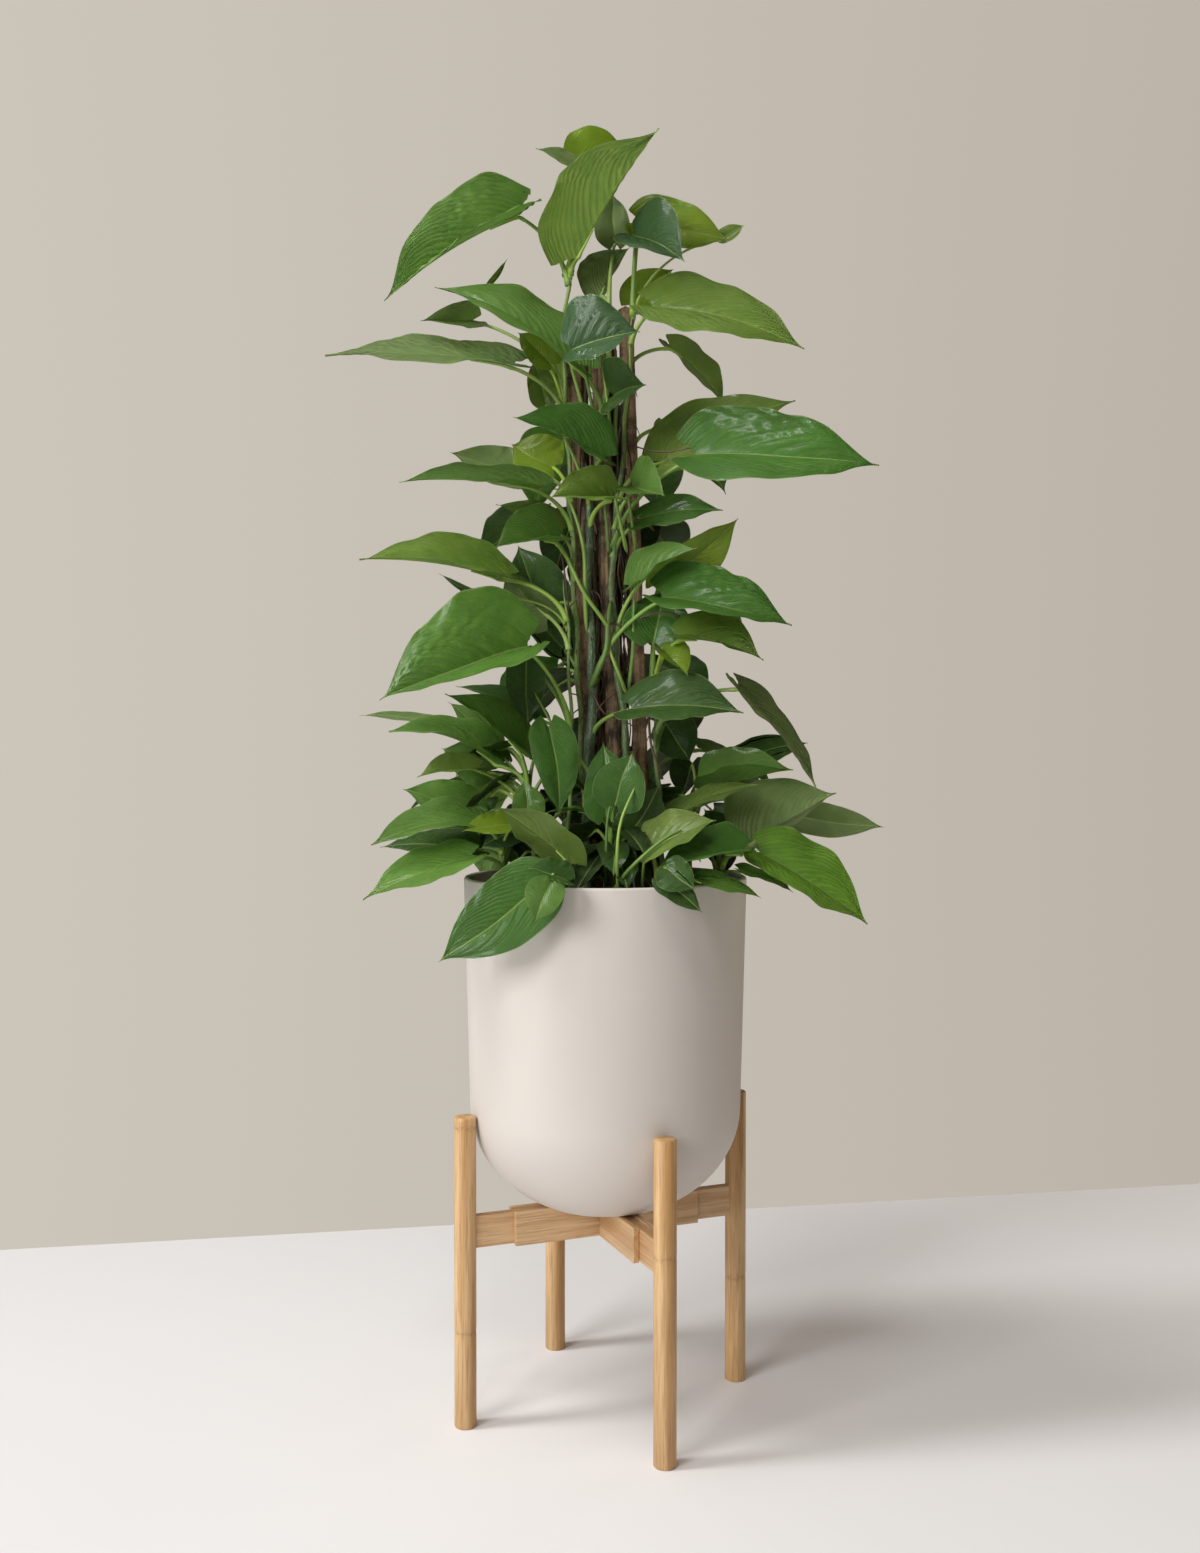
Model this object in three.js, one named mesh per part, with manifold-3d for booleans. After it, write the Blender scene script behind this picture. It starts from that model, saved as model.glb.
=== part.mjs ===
// A potted jade pothos on an adjustable bamboo stand.
//
// Lengths are in millimetres and +Z is up. The planter's axis is the Z axis, the stand's feet are
// on z = 0, and the plant's best side faces -Y.

import * as THREE from 'three';
import { mergeVertices } from 'three/addons/utils/BufferGeometryUtils.js';
import Module from 'manifold-3d';

const wasm = await Module();
wasm.setup();

// Driving dimensions

const GAP = 0.3;                 // clearance between pieces that touch

const LEG = { diameter: 23.6, height: 332, ring: 161, bevel: 1 };
const STAND_TURN = 22;           // degrees from +X to the first arm of the cross
const BAR = { top: 226.7, height: 37, half: 108, plate: 6.5, slot: 11 };
const RAIL = { height: 34, inner: 59, tenon: 16 };
const OVERCUT = 1;               // how far a cutting tool reaches past the face that it opens

const PLANTER = {
  rimRadius: 155, rimHeight: 584, waistRadius: 148.6, waistHeight: 335,
  bowlDepth: 121, bowlPower: 2.04, wall: 6, floor: 8, lip: 2, sides: 36,
};
const PLANTER_BASE = BAR.top + GAP;
const SOIL = { top: 556, edgeDrop: 6, edgeWidth: 12, shrink: 1 };   // shrink: off the wall at the top
const ROOTING_DEPTH = 45;        // how far the stems stand in the mix
const STAKE_DEPTH = 150;         // how far the stakes stand in the mix

const EYE = new THREE.Vector3(0, -1642, 723);   // where the best side is looked at from
const BLADE_THICKNESS = 0.9;
const PETIOLE = { foot: 2.7, head: 1.3, sides: 3, long: 90, bends: { short: 2, long: 3 } };

const COLOURS = {
  ceramic: 0xe6ddd3, bamboo: 0xd2a870, bambooPlate: 0xdcbd8c, soil: 0x3a2a20,
  bark: 0x5d4632, smoothWood: 0x7b5a3b, leaf: 0x3f7f2e,
};

const RAD = Math.PI / 180;

// Small helpers

function finish(colour, roughness) {
  return new THREE.MeshStandardMaterial({ color: colour, roughness, metalness: 0 });
}

// Joins the shared corners of a geometry and drops the triangles that this collapses.
function weld(geometry) {
  const bare = geometry.clone();
  bare.deleteAttribute('normal');
  bare.deleteAttribute('uv');
  const merged = mergeVertices(bare, 1e-3);
  const index = merged.index.array;
  const kept = [];
  for (let i = 0; i < index.length; i += 3) {
    const [a, b, c] = [index[i], index[i + 1], index[i + 2]];
    if (a !== b && b !== c && c !== a) kept.push(a, b, c);
  }
  merged.setIndex(kept);
  return merged;
}

function toSolid(geometry) {
  const welded = weld(geometry);
  return new wasm.Manifold(new wasm.Mesh({
    numProp: 3,
    vertProperties: new Float32Array(welded.attributes.position.array),
    triVerts: new Uint32Array(welded.index.array),
  }));
}

function toGeometry(solid) {
  const mesh = solid.getMesh();
  const geometry = new THREE.BufferGeometry();
  geometry.setAttribute('position', new THREE.BufferAttribute(mesh.vertProperties, 3));
  geometry.setIndex(new THREE.BufferAttribute(mesh.triVerts, 1));
  return geometry;
}

function fuse(geometries) {
  return toGeometry(geometries.map(toSolid).reduce((whole, piece) => whole.add(piece)));
}

function cut(geometry, tools) {
  return toGeometry(tools.map(toSolid).reduce((whole, tool) => whole.subtract(tool), toSolid(geometry)));
}

const model = new THREE.Group();

function place(name, geometry, material) {
  const mesh = new THREE.Mesh(geometry, material);
  mesh.name = name;
  model.add(mesh);
  return mesh;
}

// A turned shape from [radius, height] points, about the Z axis
function turned(points, sides) {
  const profile = points.map(([radius, height]) => new THREE.Vector2(radius, height));
  return new THREE.LatheGeometry(profile, sides).rotateX(Math.PI / 2);
}

function box(length, width, height, x, y, z) {
  return new THREE.BoxGeometry(length, width, height).translate(x, y, z);
}

// Stand: four round legs, a rail from each leg, and a cross of four plates that the rails slide in

const BAR_MIDDLE = BAR.top - BAR.height / 2;
const railWidth = BAR.slot - 2 * GAP;
const legInner = LEG.ring - LEG.diameter / 2;
const railOuter = legInner + RAIL.tenon;

function legGeometry() {
  const r = LEG.diameter / 2;
  const pole = turned([
    [0, 0], [r - LEG.bevel, 0], [r, LEG.bevel],
    [r, LEG.height - LEG.bevel], [r - LEG.bevel, LEG.height], [0, LEG.height],
  ], 20).translate(LEG.ring, 0, 0);
  const mortiseLength = RAIL.tenon + r;
  const mortise = box(mortiseLength, railWidth + 2 * GAP, RAIL.height + 2 * GAP,
    railOuter + GAP - mortiseLength / 2, 0, BAR_MIDDLE);
  return cut(pole, [mortise]);
}

function railGeometry() {
  const length = railOuter - RAIL.inner;
  return box(length, railWidth, RAIL.height, RAIL.inner + length / 2, 0, BAR_MIDDLE);
}

// One long plate of the cross, with two half-depth notches where the other bar's plates pass
function plateGeometry(side, notchOnTop) {
  const offset = (BAR.slot + BAR.plate) / 2;
  const plate = box(2 * BAR.half, BAR.plate, BAR.height, 0, side * offset, BAR_MIDDLE);
  const notchHeight = BAR.height / 2 + GAP;
  const notchRise = (BAR.height - notchHeight) / 2 + OVERCUT;
  const notchMiddle = BAR_MIDDLE + (notchOnTop ? notchRise : -notchRise);
  const notches = [-1, 1].map((way) => box(BAR.plate + 2 * GAP, BAR.plate + 2 * OVERCUT,
    notchHeight + 2 * OVERCUT, way * offset, side * offset, notchMiddle));
  return cut(plate, notches);
}

const ARMS = [['back_right', 0], ['back_left', 90], ['front_left', 180], ['front_right', 270]];
for (const [name, turn] of ARMS) {
  const angle = (turn + STAND_TURN) * RAD;
  place(`leg_${name}`, legGeometry().rotateZ(angle), finish(COLOURS.bamboo, 0.55));
  place(`rail_${name}`, railGeometry().rotateZ(angle), finish(COLOURS.bamboo, 0.6));
}
for (const [bar, turn, notchOnTop] of [['long', 0, true], ['cross', 90, false]]) {
  for (const [side, way] of [['near', -1], ['far', 1]]) {
    const plate = plateGeometry(way, notchOnTop).rotateZ((turn + STAND_TURN) * RAD);
    place(`plate_${bar}_${side}`, plate, finish(COLOURS.bambooPlate, 0.6));
  }
}
place('cross_block', box(BAR.slot - 2 * GAP, BAR.slot - 2 * GAP, BAR.height, 0, 0, BAR_MIDDLE)
  .rotateZ(STAND_TURN * RAD), finish(COLOURS.bamboo, 0.6));

// Planter: a slightly tapered wall over a round bowl that is cut flat where it stands

// The bowl's side from its waist down to a flat at height floorZ, a superellipse
function bowlPoints(radius, depth, floorZ, steps) {
  const power = 2 / PLANTER.bowlPower;
  const endAngle = Math.asin(((PLANTER.waistHeight - floorZ) / depth) ** (1 / power));
  const points = [];
  for (let i = 0; i <= steps; i += 1) {
    const angle = (endAngle * i) / steps;
    points.push([radius * Math.cos(angle) ** power,
      PLANTER.waistHeight - depth * Math.sin(angle) ** power]);
  }
  return points.reverse();
}

const BOWL_STEPS = { outer: 6, inner: 3 };
const outerBowl = bowlPoints(PLANTER.waistRadius, PLANTER.bowlDepth, PLANTER_BASE,
  BOWL_STEPS.outer);
const innerBowl = bowlPoints(PLANTER.waistRadius - PLANTER.wall,
  PLANTER.bowlDepth - PLANTER.floor, PLANTER_BASE + PLANTER.floor, BOWL_STEPS.inner);
const lipOuter = PLANTER.rimRadius;
const lipInner = PLANTER.rimRadius - PLANTER.wall;
place('planter', turned([
  [0, PLANTER_BASE], ...outerBowl,
  [lipOuter, PLANTER.rimHeight - PLANTER.lip], [lipOuter - PLANTER.lip, PLANTER.rimHeight],
  [lipInner + PLANTER.lip, PLANTER.rimHeight], [lipInner, PLANTER.rimHeight - PLANTER.lip],
  ...innerBowl.reverse(), [0, PLANTER_BASE + PLANTER.floor],
], PLANTER.sides), finish(COLOURS.ceramic, 0.7));

// The mix fills the planter; its side keeps clear of the wall
function mixGeometry() {
  const radius = PLANTER.waistRadius - PLANTER.wall - GAP;
  const side = bowlPoints(radius, PLANTER.bowlDepth - PLANTER.floor - GAP,
    PLANTER_BASE + PLANTER.floor + GAP, BOWL_STEPS.inner);
  const share = (SOIL.top - PLANTER.waistHeight) / (PLANTER.rimHeight - PLANTER.waistHeight);
  const topRadius = radius + share * (PLANTER.rimRadius - PLANTER.waistRadius);
  return turned([
    [0, side[0][1]], ...side, [topRadius - SOIL.shrink, SOIL.top - SOIL.edgeDrop],
    [topRadius - SOIL.edgeWidth, SOIL.top], [0, SOIL.top],
  ], PLANTER.sides / 2);
}

// Tubes and stakes

function curveThrough(points) {
  return new THREE.CatmullRomCurve3(points, false, 'catmullrom', 0.5);
}

// A closed tube: a cylinder's rings laid along a curve, round a fixed side direction
function tube(curve, radiusAt, sides, steps, across) {
  const geometry = new THREE.CylinderGeometry(1, 1, 1, sides, steps);
  const position = geometry.attributes.position;
  const point = new THREE.Vector3();
  for (let i = 0; i < position.count; i += 1) {
    point.fromBufferAttribute(position, i);
    const t = Math.min(1, Math.max(0, point.y + 0.5));
    const along = curve.getTangent(t);
    const side = new THREE.Vector3().crossVectors(across, along).normalize();
    const front = new THREE.Vector3().crossVectors(along, side);
    const centre = curve.getPoint(t);
    const radius = radiusAt(t);
    centre.addScaledVector(side, point.x * radius).addScaledVector(front, -point.z * radius);
    position.setXYZ(i, centre.x, centre.y, centre.z);
  }
  return geometry;
}

const rootHoles = [];
const HOLE = { sides: 6, above: 20, ease: 0.2 };   // its reach over the mix and its spare width

// A hole in the mix for a round piece of this radius that stands upright at (x, y)
function rootHole(x, y, radius, depth) {
  const holeRadius = (radius + GAP) / Math.cos(Math.PI / HOLE.sides) + HOLE.ease;
  const length = depth + GAP + HOLE.above;
  return new THREE.CylinderGeometry(holeRadius, holeRadius, length, HOLE.sides)
    .rotateX(Math.PI / 2)
    .translate(x, y, SOIL.top + HOLE.above - length / 2);
}

// Stakes: foot and head as [x, y], the head's height, radius, roughness of the bark, first phase
const STAKES = [
  { name: 'stake_left', foot: [-10, 2], head: [-37, 0], top: 1201, radius: 9.5, rough: 0.7, phase: 0.3 },
  { name: 'stake_bark', foot: [16, -8], head: [-9, -8], top: 1197, radius: 10, rough: 1.5, phase: 1.1 },
  { name: 'stake_right', foot: [44, 0], head: [22, 0], top: 1208, radius: 8.5, rough: 0.6, phase: 2.4 },
  { name: 'stake_back', foot: [20, 22], head: [0, 18], top: 1176, radius: 9.5, rough: 1.2, phase: 4.0 },
];
const STAKE_SIDES = 7;
const STAKE_ROWS = 7;
const BUMPS = { broad: { around: 2, along: 7 }, fine: { around: 3, along: -19 } };

// The first row of corners is the foot, the second is level with the mix; the stake leans above it
function stakeGeometry(stake) {
  const geometry = new THREE.CylinderGeometry(1, 1, 1, STAKE_SIDES, STAKE_ROWS);
  const position = geometry.attributes.position;
  for (let i = 0; i < position.count; i += 1) {
    const t = position.getY(i) + 0.5;
    const around = Math.atan2(-position.getZ(i), position.getX(i));
    const climb = Math.max(0, (t * STAKE_ROWS - 1) / (STAKE_ROWS - 1));
    const height = t === 0 ? SOIL.top - STAKE_DEPTH : SOIL.top + climb * (stake.top - SOIL.top);
    const isRim = Math.hypot(position.getX(i), position.getZ(i)) > 0.5;
    const bumps = Math.sin(BUMPS.broad.around * around + BUMPS.broad.along * t + stake.phase)
      + Math.sin(BUMPS.fine.around * around + BUMPS.fine.along * t);
    const aboveMix = climb > 0 ? 1 : 0;
    const radius = isRim ? stake.radius - stake.rough * (1 - 0.5 * bumps) * aboveMix : 0;
    position.setXYZ(i,
      stake.foot[0] + (stake.head[0] - stake.foot[0]) * climb + radius * Math.cos(around),
      stake.foot[1] + (stake.head[1] - stake.foot[1]) * climb + radius * Math.sin(around),
      height);
  }
  return geometry;
}

for (const stake of STAKES) {
  const colour = stake.rough > 1 ? COLOURS.bark : COLOURS.smoothWood;
  place(stake.name, toGeometry(toSolid(stakeGeometry(stake))), finish(colour, 0.9));
  rootHoles.push(rootHole(...stake.foot, stake.radius, STAKE_DEPTH));
}

// Leaves. A blade is a heart with a drawn-out tip: u runs from the leaf stalk (0) to the tip (1)
// and v across it, from -1 to 1.

const BLADE = {
  shoulder: 0.3, base: 0.42, baseCurve: 2.2, tipCurve: 2.4, tipPinch: 1.05,
  lobe: 0.13, bulge: 0.13, wave: 0.03, waves: 9, stalkEnd: 0.05,   // stalkEnd: as u
};
const ROWS = { large: [0, 0.12, 0.3, 0.55, 0.8, 1], small: [0, 0.2, 0.6, 1] };
const COLUMNS = [-1, 0, 1];
const LARGE_AREA = 7000;         // length times width from which a blade gets the finer grid
const NEARLY_LEVEL = 0.05;       // a rise under this doesn't tell up from down

// The blade's half width at u, as a share of its greatest half width
function bladeShape(u) {
  if (u < BLADE.shoulder) {
    const k = (BLADE.shoulder - u) / BLADE.shoulder;
    return 1 - (1 - BLADE.base) * k ** BLADE.baseCurve;
  }
  const k = (u - BLADE.shoulder) / (1 - BLADE.shoulder);
  return (1 - k ** BLADE.tipCurve) ** BLADE.tipPinch;
}

// A point seen at x and z on the plane through the planter's axis, brought near mm toward the eye
function seen([x, z, near]) {
  return new THREE.Vector3(x, 0, z).lerp(EYE, near / -EYE.y);
}

// The direction that a blade's upper face looks in: 0 degrees toward the eye, 90 up, -90 down
function facing(base, tip, face) {
  const along = tip.clone().sub(base).normalize();
  const toEye = EYE.clone().sub(base);
  toEye.addScaledVector(along, -toEye.dot(along)).normalize();
  const rising = new THREE.Vector3().crossVectors(toEye, along);
  const points = Math.abs(rising.z) > NEARLY_LEVEL ? rising.z : rising.x;
  if (points < 0) rising.negate();
  return toEye.multiplyScalar(Math.cos(face * RAD)).addScaledVector(rising, Math.sin(face * RAD));
}

// A point on the blade's middle surface, and the way its upper face looks there
function bladePoint(leaf, u, v) {
  const { base, tip, normal, width, fold, arch, phase } = leaf;
  const length = base.distanceTo(tip);
  const along = tip.clone().sub(base).normalize();
  const side = new THREE.Vector3().crossVectors(along, normal).normalize();
  const half = (width / 2) * bladeShape(u);
  const slope = u === 1 || v === 0 ? 0 : Math.sign(v) * fold * RAD;
  const lift = half * Math.abs(v) * Math.sin(Math.abs(fold * RAD)) * Math.sign(fold)
    + BLADE.bulge * half * Math.abs(v) * (1 - Math.abs(v))
    + BLADE.wave * half * v * v * Math.sin(BLADE.waves * u + phase + Math.sign(v))
    + arch * length * 4 * u * (1 - u);
  const forward = length * (u - BLADE.lobe * v * v * (1 - u) ** 3);
  const point = base.clone().addScaledVector(along, forward)
    .addScaledVector(side, half * v * Math.cos(fold * RAD)).addScaledVector(normal, lift);
  const up = normal.clone().multiplyScalar(Math.cos(slope)).addScaledVector(side, -Math.sin(slope));
  return { point, up };
}

// A closed blade: the same grid of triangles on both faces, joined round the margin
function bladeGeometry(leaf) {
  const size = leaf.base.distanceTo(leaf.tip) * leaf.width > LARGE_AREA ? 'large' : 'small';
  const rows = ROWS[size];
  const positions = [];
  for (const way of [1, -1]) {
    for (const u of rows) {
      for (const v of COLUMNS) {
        const { point, up } = bladePoint(leaf, u, v);
        point.addScaledVector(up, (way * BLADE_THICKNESS) / 2);
        positions.push(point.x, point.y, point.z);
      }
    }
  }
  const wide = COLUMNS.length;
  const under = rows.length * wide;
  const triangles = [];
  const quad = (a, b, c, d) => triangles.push(a, b, c, a, c, d);
  for (let r = 0; r + 1 < rows.length; r += 1) {
    for (let c = 0; c + 1 < wide; c += 1) {
      const a = r * wide + c;
      quad(a, a + 1, a + wide + 1, a + wide);
      triangles.push(under + a, under + a + wide + 1, under + a + 1);
      triangles.push(under + a, under + a + wide, under + a + wide + 1);
    }
    const left = r * wide;
    const right = left + wide - 1;
    quad(left, left + wide, under + left + wide, under + left);
    quad(right + wide, right, under + right, under + right + wide);
  }
  for (let c = 0; c + 1 < wide; c += 1) quad(c + 1, c, under + c, under + c + 1);
  const geometry = new THREE.BufferGeometry();
  geometry.setAttribute('position', new THREE.Float32BufferAttribute(positions, 3));
  geometry.setIndex(triangles);
  return geometry;
}

// A leaf stalk rises from its node and bends over to the base of its blade
function petioleGeometry(node, leaf) {
  const end = bladePoint(leaf, BLADE.stalkEnd, 0).point;
  const reach = node.distanceTo(end);
  const control = node.clone().lerp(end, 0.5);
  control.z += leaf.lift * reach;
  const curve = new THREE.QuadraticBezierCurve3(node, control, end);
  const across = new THREE.Vector3()
    .crossVectors(control.clone().sub(node), end.clone().sub(node)).normalize();
  const radiusAt = (t) => PETIOLE.foot + (PETIOLE.head - PETIOLE.foot) * t ** 3;
  const steps = reach > PETIOLE.long ? PETIOLE.bends.long : PETIOLE.bends.short;
  return tube(curve, radiusAt, PETIOLE.sides, steps, across);
}

// Stems: their path from the mix up as [x, y, z], and their radius. Each starts upright in its hole.
const STEMS = {
  climber_left: { radius: 5.2, path: [[-19, -14, 556], [-29, -15, 800], [-38, -15, 1000],
    [-46, -14, 1150], [-44, -16, 1200], [-36, -16, 1245]] },
  climber_front: { radius: 5.2, path: [[-20, -30, 556], [-16, -27, 738], [-13, -26, 800],
    [-18, -25, 890], [-16, -24, 980], [-4, -25, 1075], [3, -25, 1130], [4, -24, 1212]] },
  climber_right: { radius: 5.2, path: [[36, -30, 556], [28, -27, 670], [20, -25, 752],
    [10, -25, 850], [8, -25, 931], [15, -25, 1000], [23, -20, 1090], [30, -18, 1200]] },
  climber_left_low: { radius: 4.8, path: [[-42, -36, 556], [-38, -38, 700], [-38, -36, 800],
    [-44, -34, 905]] },
  climber_right_low: { radius: 4.8, path: [[64, -20, 556], [57, -18, 700], [52, -14, 800],
    [50, -14, 872]] },
  climber_back_left: { radius: 5, path: [[-14, 28, 556], [-18, 26, 800], [-24, 21, 1050],
    [-27, 19, 1180], [-20, 26, 1240]] },
  climber_back_right: { radius: 5, path: [[46, 28, 556], [38, 27, 800], [27, 24, 1050],
    [24, 22, 1150], [34, 26, 1220]] },
  bush_left_upper: { radius: 4.6, path: [[-72, -25, 556], [-78, -28, 630], [-84, -34, 690]] },
  bush_left_lower: { radius: 4.6, path: [[-104, -34, 556], [-110, -38, 590], [-112, -42, 625]] },
  bush_front_left: { radius: 4.4, path: [[-45, -100, 556], [-42, -102, 575], [-40, -100, 596]] },
  bush_centre: { radius: 4.8, path: [[8, -66, 556], [6, -64, 600], [2, -60, 650]] },
  bush_right_upper: { radius: 4.6, path: [[88, -14, 556], [96, -18, 630], [104, -22, 680]] },
  bush_right_lower: { radius: 4.6, path: [[116, -34, 556], [122, -38, 580], [126, -42, 600]] },
  bush_front_right: { radius: 4.4, path: [[56, -98, 556], [54, -98, 575], [54, -96, 596]] },
  bush_back_left: { radius: 4.6, path: [[-80, 58, 556], [-86, 64, 610], [-90, 68, 660]] },
  bush_back_middle: { radius: 4.6, path: [[4, 80, 556], [4, 83, 610], [2, 86, 660]] },
  bush_back_right: { radius: 4.6, path: [[84, 52, 556], [90, 58, 610], [96, 62, 660]] },
};

// One leaf as it is seen: the height of its node on the stem, then the base and the tip of its
// blade as [x, z, near], its width, where its face looks, how far its halves fold up, its arch,
// and how much its stalk bows
function leaf(nodeZ, base, tip, width, face, fold = 10, arch = 0.05, lift = 0.16) {
  const from = seen(base);
  const to = seen(tip);
  return { nodeZ, base: from, tip: to, normal: facing(from, to, face), width, fold, arch, lift };
}

const LEAVES = {
  climber_left: [
    leaf(1225, [-92, 1308, 0], [-242, 1214, 25], 124, 50, 49, 0.06),
    leaf(1240, [-32, 1259, 28], [58, 1401, 38], 134, 135, 45, 0.02),
    leaf(1236, [-36, 1358, -20], [31, 1371, -45], 70, 20, 10),
    leaf(1232, [-24, 1348, 0], [-76, 1379, 15], 35, 60, 20),
    leaf(1100, [-145, 1192, -8], [-202, 1192, 44], 50, 25, 50),
    leaf(1100, [-128, 1230, -12], [-107, 1259, -12], 8, 0, 30, 0),
    leaf(1080, [-103, 1144, 46], [-307, 1154, 50], 110, 75, 10, 0.03),
    leaf(1070, [-60, 1144, 20], [-96, 1179, 18], 50, 40, 20),
    leaf(1050, [-65, 1101, 4], [-79, 1149, -2], 34, 10, 10),
    leaf(990, [-57, 1032, -18], [-103, 1057, -26], 62, 10, 5),
    leaf(985, [-85, 1024, -46], [-170, 1048, -40], 52, 165, 25),
    leaf(960, [-73, 1009, 34], [-226, 1016, 58], 88, 77, 13, 0.04),
    leaf(930, [-52, 964, -4], [-120, 991, -6], 40, 50, 20),
    leaf(905, [-52, 951, 32], [-122, 944, 72], 76, 55, 35),
    leaf(870, [-65, 874, -30], [-96, 947, -26], 70, 0, 10),
    leaf(800, [-45, 832, 6], [-96, 878, -4], 40, 10, 10),
  ],
  climber_front: [
    leaf(1200, [11, 1275, -46], [9, 1329, -56], 42, 0, 12),
    leaf(1195, [-7, 1217, -6], [27, 1272, -16], 72, 139, 41),
    leaf(1130, [-37, 1160, 96], [38, 1180, 114], 90, 43, 26),
    leaf(1080, [9, 1110, 42], [45, 1122, 86], 70, 30, 30),
    leaf(1010, [-2, 1041, 56], [-101, 1087, 78], 84, 55, 30),
    leaf(960, [8, 997, 76], [-62, 999, 114], 70, 50, 38),
    leaf(790, [62, 890, 72], [205, 858, 100], 104, 56, 22),
    leaf(733, [29, 767, 60], [152, 763, 105], 92, 54, 18),
    leaf(1085, [-32, 1142, 62], [-187, 1228, 58], 100, 66, 17, 0.08),
  ],
  climber_right: [
    leaf(1190, [32, 1284, -5], [87, 1256, 40], 80, 30, 35),
    leaf(1192, [36, 1300, -26], [136, 1279, -16], 60, 25, 10),
    leaf(1188, [126, 1280, -30], [152, 1295, -30], 18, 20, 10),
    leaf(1160, [51, 1207, 28], [218, 1161, 50], 105, 58, 9, 0.055),
    leaf(960, [30, 1010, 36], [66, 1000, 86], 68, 35, 40),
    leaf(990, [62, 1037, 0], [208, 1105, 10], 95, 50, 10),
    leaf(940, [100, 1046, 48], [300, 1033, 78], 120, 47, 17, 0.05),
    leaf(930, [36, 975, 30], [129, 985, 66], 62, 60, 5),
    leaf(840, [32, 901, 42], [102, 944, 78], 66, 61, 31),
  ],
  climber_left_low: [
    leaf(860, [-114, 911, 32], [-270, 931, 64], 92, 70, 24, 0.04),
    leaf(850, [-129, 887, 44], [-183, 916, 40], 10, 0, 30, 0),
    leaf(830, [-63, 867, 34], [-110, 925, -4], 58, 200, 20),
    leaf(745, [-85, 836, 60], [-248, 777, 88], 144, 39, 39, 0.06),
    leaf(740, [-87, 819, 34], [-85, 750, 38], 44, 0, 10),
    leaf(720, [-74, 757, 6], [-164, 792, 2], 44, 60, 20),
  ],
  climber_right_low: [
    leaf(862, [60, 904, 10], [146, 976, 34], 60, -25, 15),
    leaf(800, [53, 841, 40], [64, 898, 26], 74, 5, 10),
    leaf(790, [80, 845, 68], [174, 821, 102], 74, 61, 28),
    leaf(780, [62, 832, 50], [91, 803, 82], 44, 45, 30),
    leaf(740, [146, 792, 40], [232, 681, 66], 70, 72, 6),
    leaf(720, [66, 752, 2], [94, 709, -2], 52, 10, 10),
  ],
  bush_left_upper: [
    leaf(670, [-89, 716, 52], [-176, 784, 76], 80, 65, 25),
    leaf(680, [-118, 706, 32], [-238, 743, 58], 84, 72, 20, 0.1),
    leaf(685, [-121, 728, -20], [-173, 775, -26], 34, 40, 10),
    leaf(660, [-129, 698, 0], [-180, 724, 4], 50, 10, 10),
    leaf(665, [-173, 746, -4], [-271, 760, -4], 24, 60, 10),
    leaf(640, [-140, 702, 44], [-207, 692, 78], 44, 60, 25),
    leaf(640, [-85, 647, 64], [-90, 689, 58], 36, 0, 10),
  ],
  bush_left_lower: [
    leaf(620, [-140, 650, 2], [-223, 679, 20], 60, 35, 10),
    leaf(615, [-140, 645, 52], [-258, 618, 94], 72, 62, 14),
    leaf(610, [-100, 640, 66], [-158, 632, 92], 38, 50, 10),
    leaf(600, [-96, 634, 40], [-136, 616, 44], 34, 20, 10),
    leaf(600, [-140, 612, 14], [-248, 615, 30], 56, 60, 8),
    leaf(590, [-148, 604, 76], [-267, 557, 112], 76, 61, 8),
  ],
  bush_front_left: [
    leaf(582, [-66, 577, 152], [-184, 488, 162], 78, 10, 5, 0.04, 0.2),
    leaf(586, [-60, 576, 188], [-77, 533, 192], 38, 0, 10, 0.04, 0.25),
    leaf(590, [-40, 577, 168], [-85, 592, 176], 42, 55, 20, 0.05, 0.2),
    leaf(592, [-37, 596, 108], [-120, 660, 112], 76, 125, 8),
  ],
  bush_centre: [
    leaf(640, [-19, 654, 62], [-68, 652, 66], 30, 85, 10),
    leaf(645, [-62, 748, 76], [-50, 650, 90], 52, 0, 10),
    leaf(600, [1, 650, 74], [-2, 731, 62], 52, 0, 10),
    leaf(610, [11, 662, 98], [30, 720, 100], 56, 0, 10),
    leaf(590, [23, 625, 83], [60, 685, 82], 52, -20, 10),
  ],
  bush_right_upper: [
    leaf(640, [70, 650, 59], [168, 684, 80], 56, 70, 10),
    leaf(620, [144, 614, 24], [108, 658, 18], 40, 0, 10),
    leaf(660, [116, 678, 32], [207, 700, 72], 84, 57, 57),
    leaf(670, [141, 706, 24], [223, 730, 26], 44, 40, 10),
  ],
  bush_right_lower: [
    leaf(598, [170, 609, 74], [289, 530, 98], 100, 50, 22),
    leaf(595, [158, 618, 50], [254, 675, 40], 104, 140, 40),
    leaf(585, [148, 590, 50], [207, 565, 62], 34, 70, 10),
  ],
  bush_front_right: [
    leaf(590, [47, 611, 102], [122, 645, 120], 70, 50, 22),
    leaf(588, [152, 609, 104], [56, 591, 136], 66, 58, 30),
    leaf(586, [67, 592, 148], [99, 568, 158], 40, 20, 10),
    leaf(584, [60, 579, 152], [107, 543, 156], 28, 20, 10, 0.04, 0.3),
    leaf(584, [104, 579, 126], [172, 559, 118], 34, 60, 10),
  ],
  climber_back_right: [
    leaf(1200, [28, 1208, -38], [75, 1248, -44], 44, 20, 10),
  ],
  climber_back_left: [], bush_back_left: [], bush_back_middle: [],
  bush_back_right: [
    leaf(640, [207, 650, -20], [307, 637, -14], 40, 170, 10),
  ],
};

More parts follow.
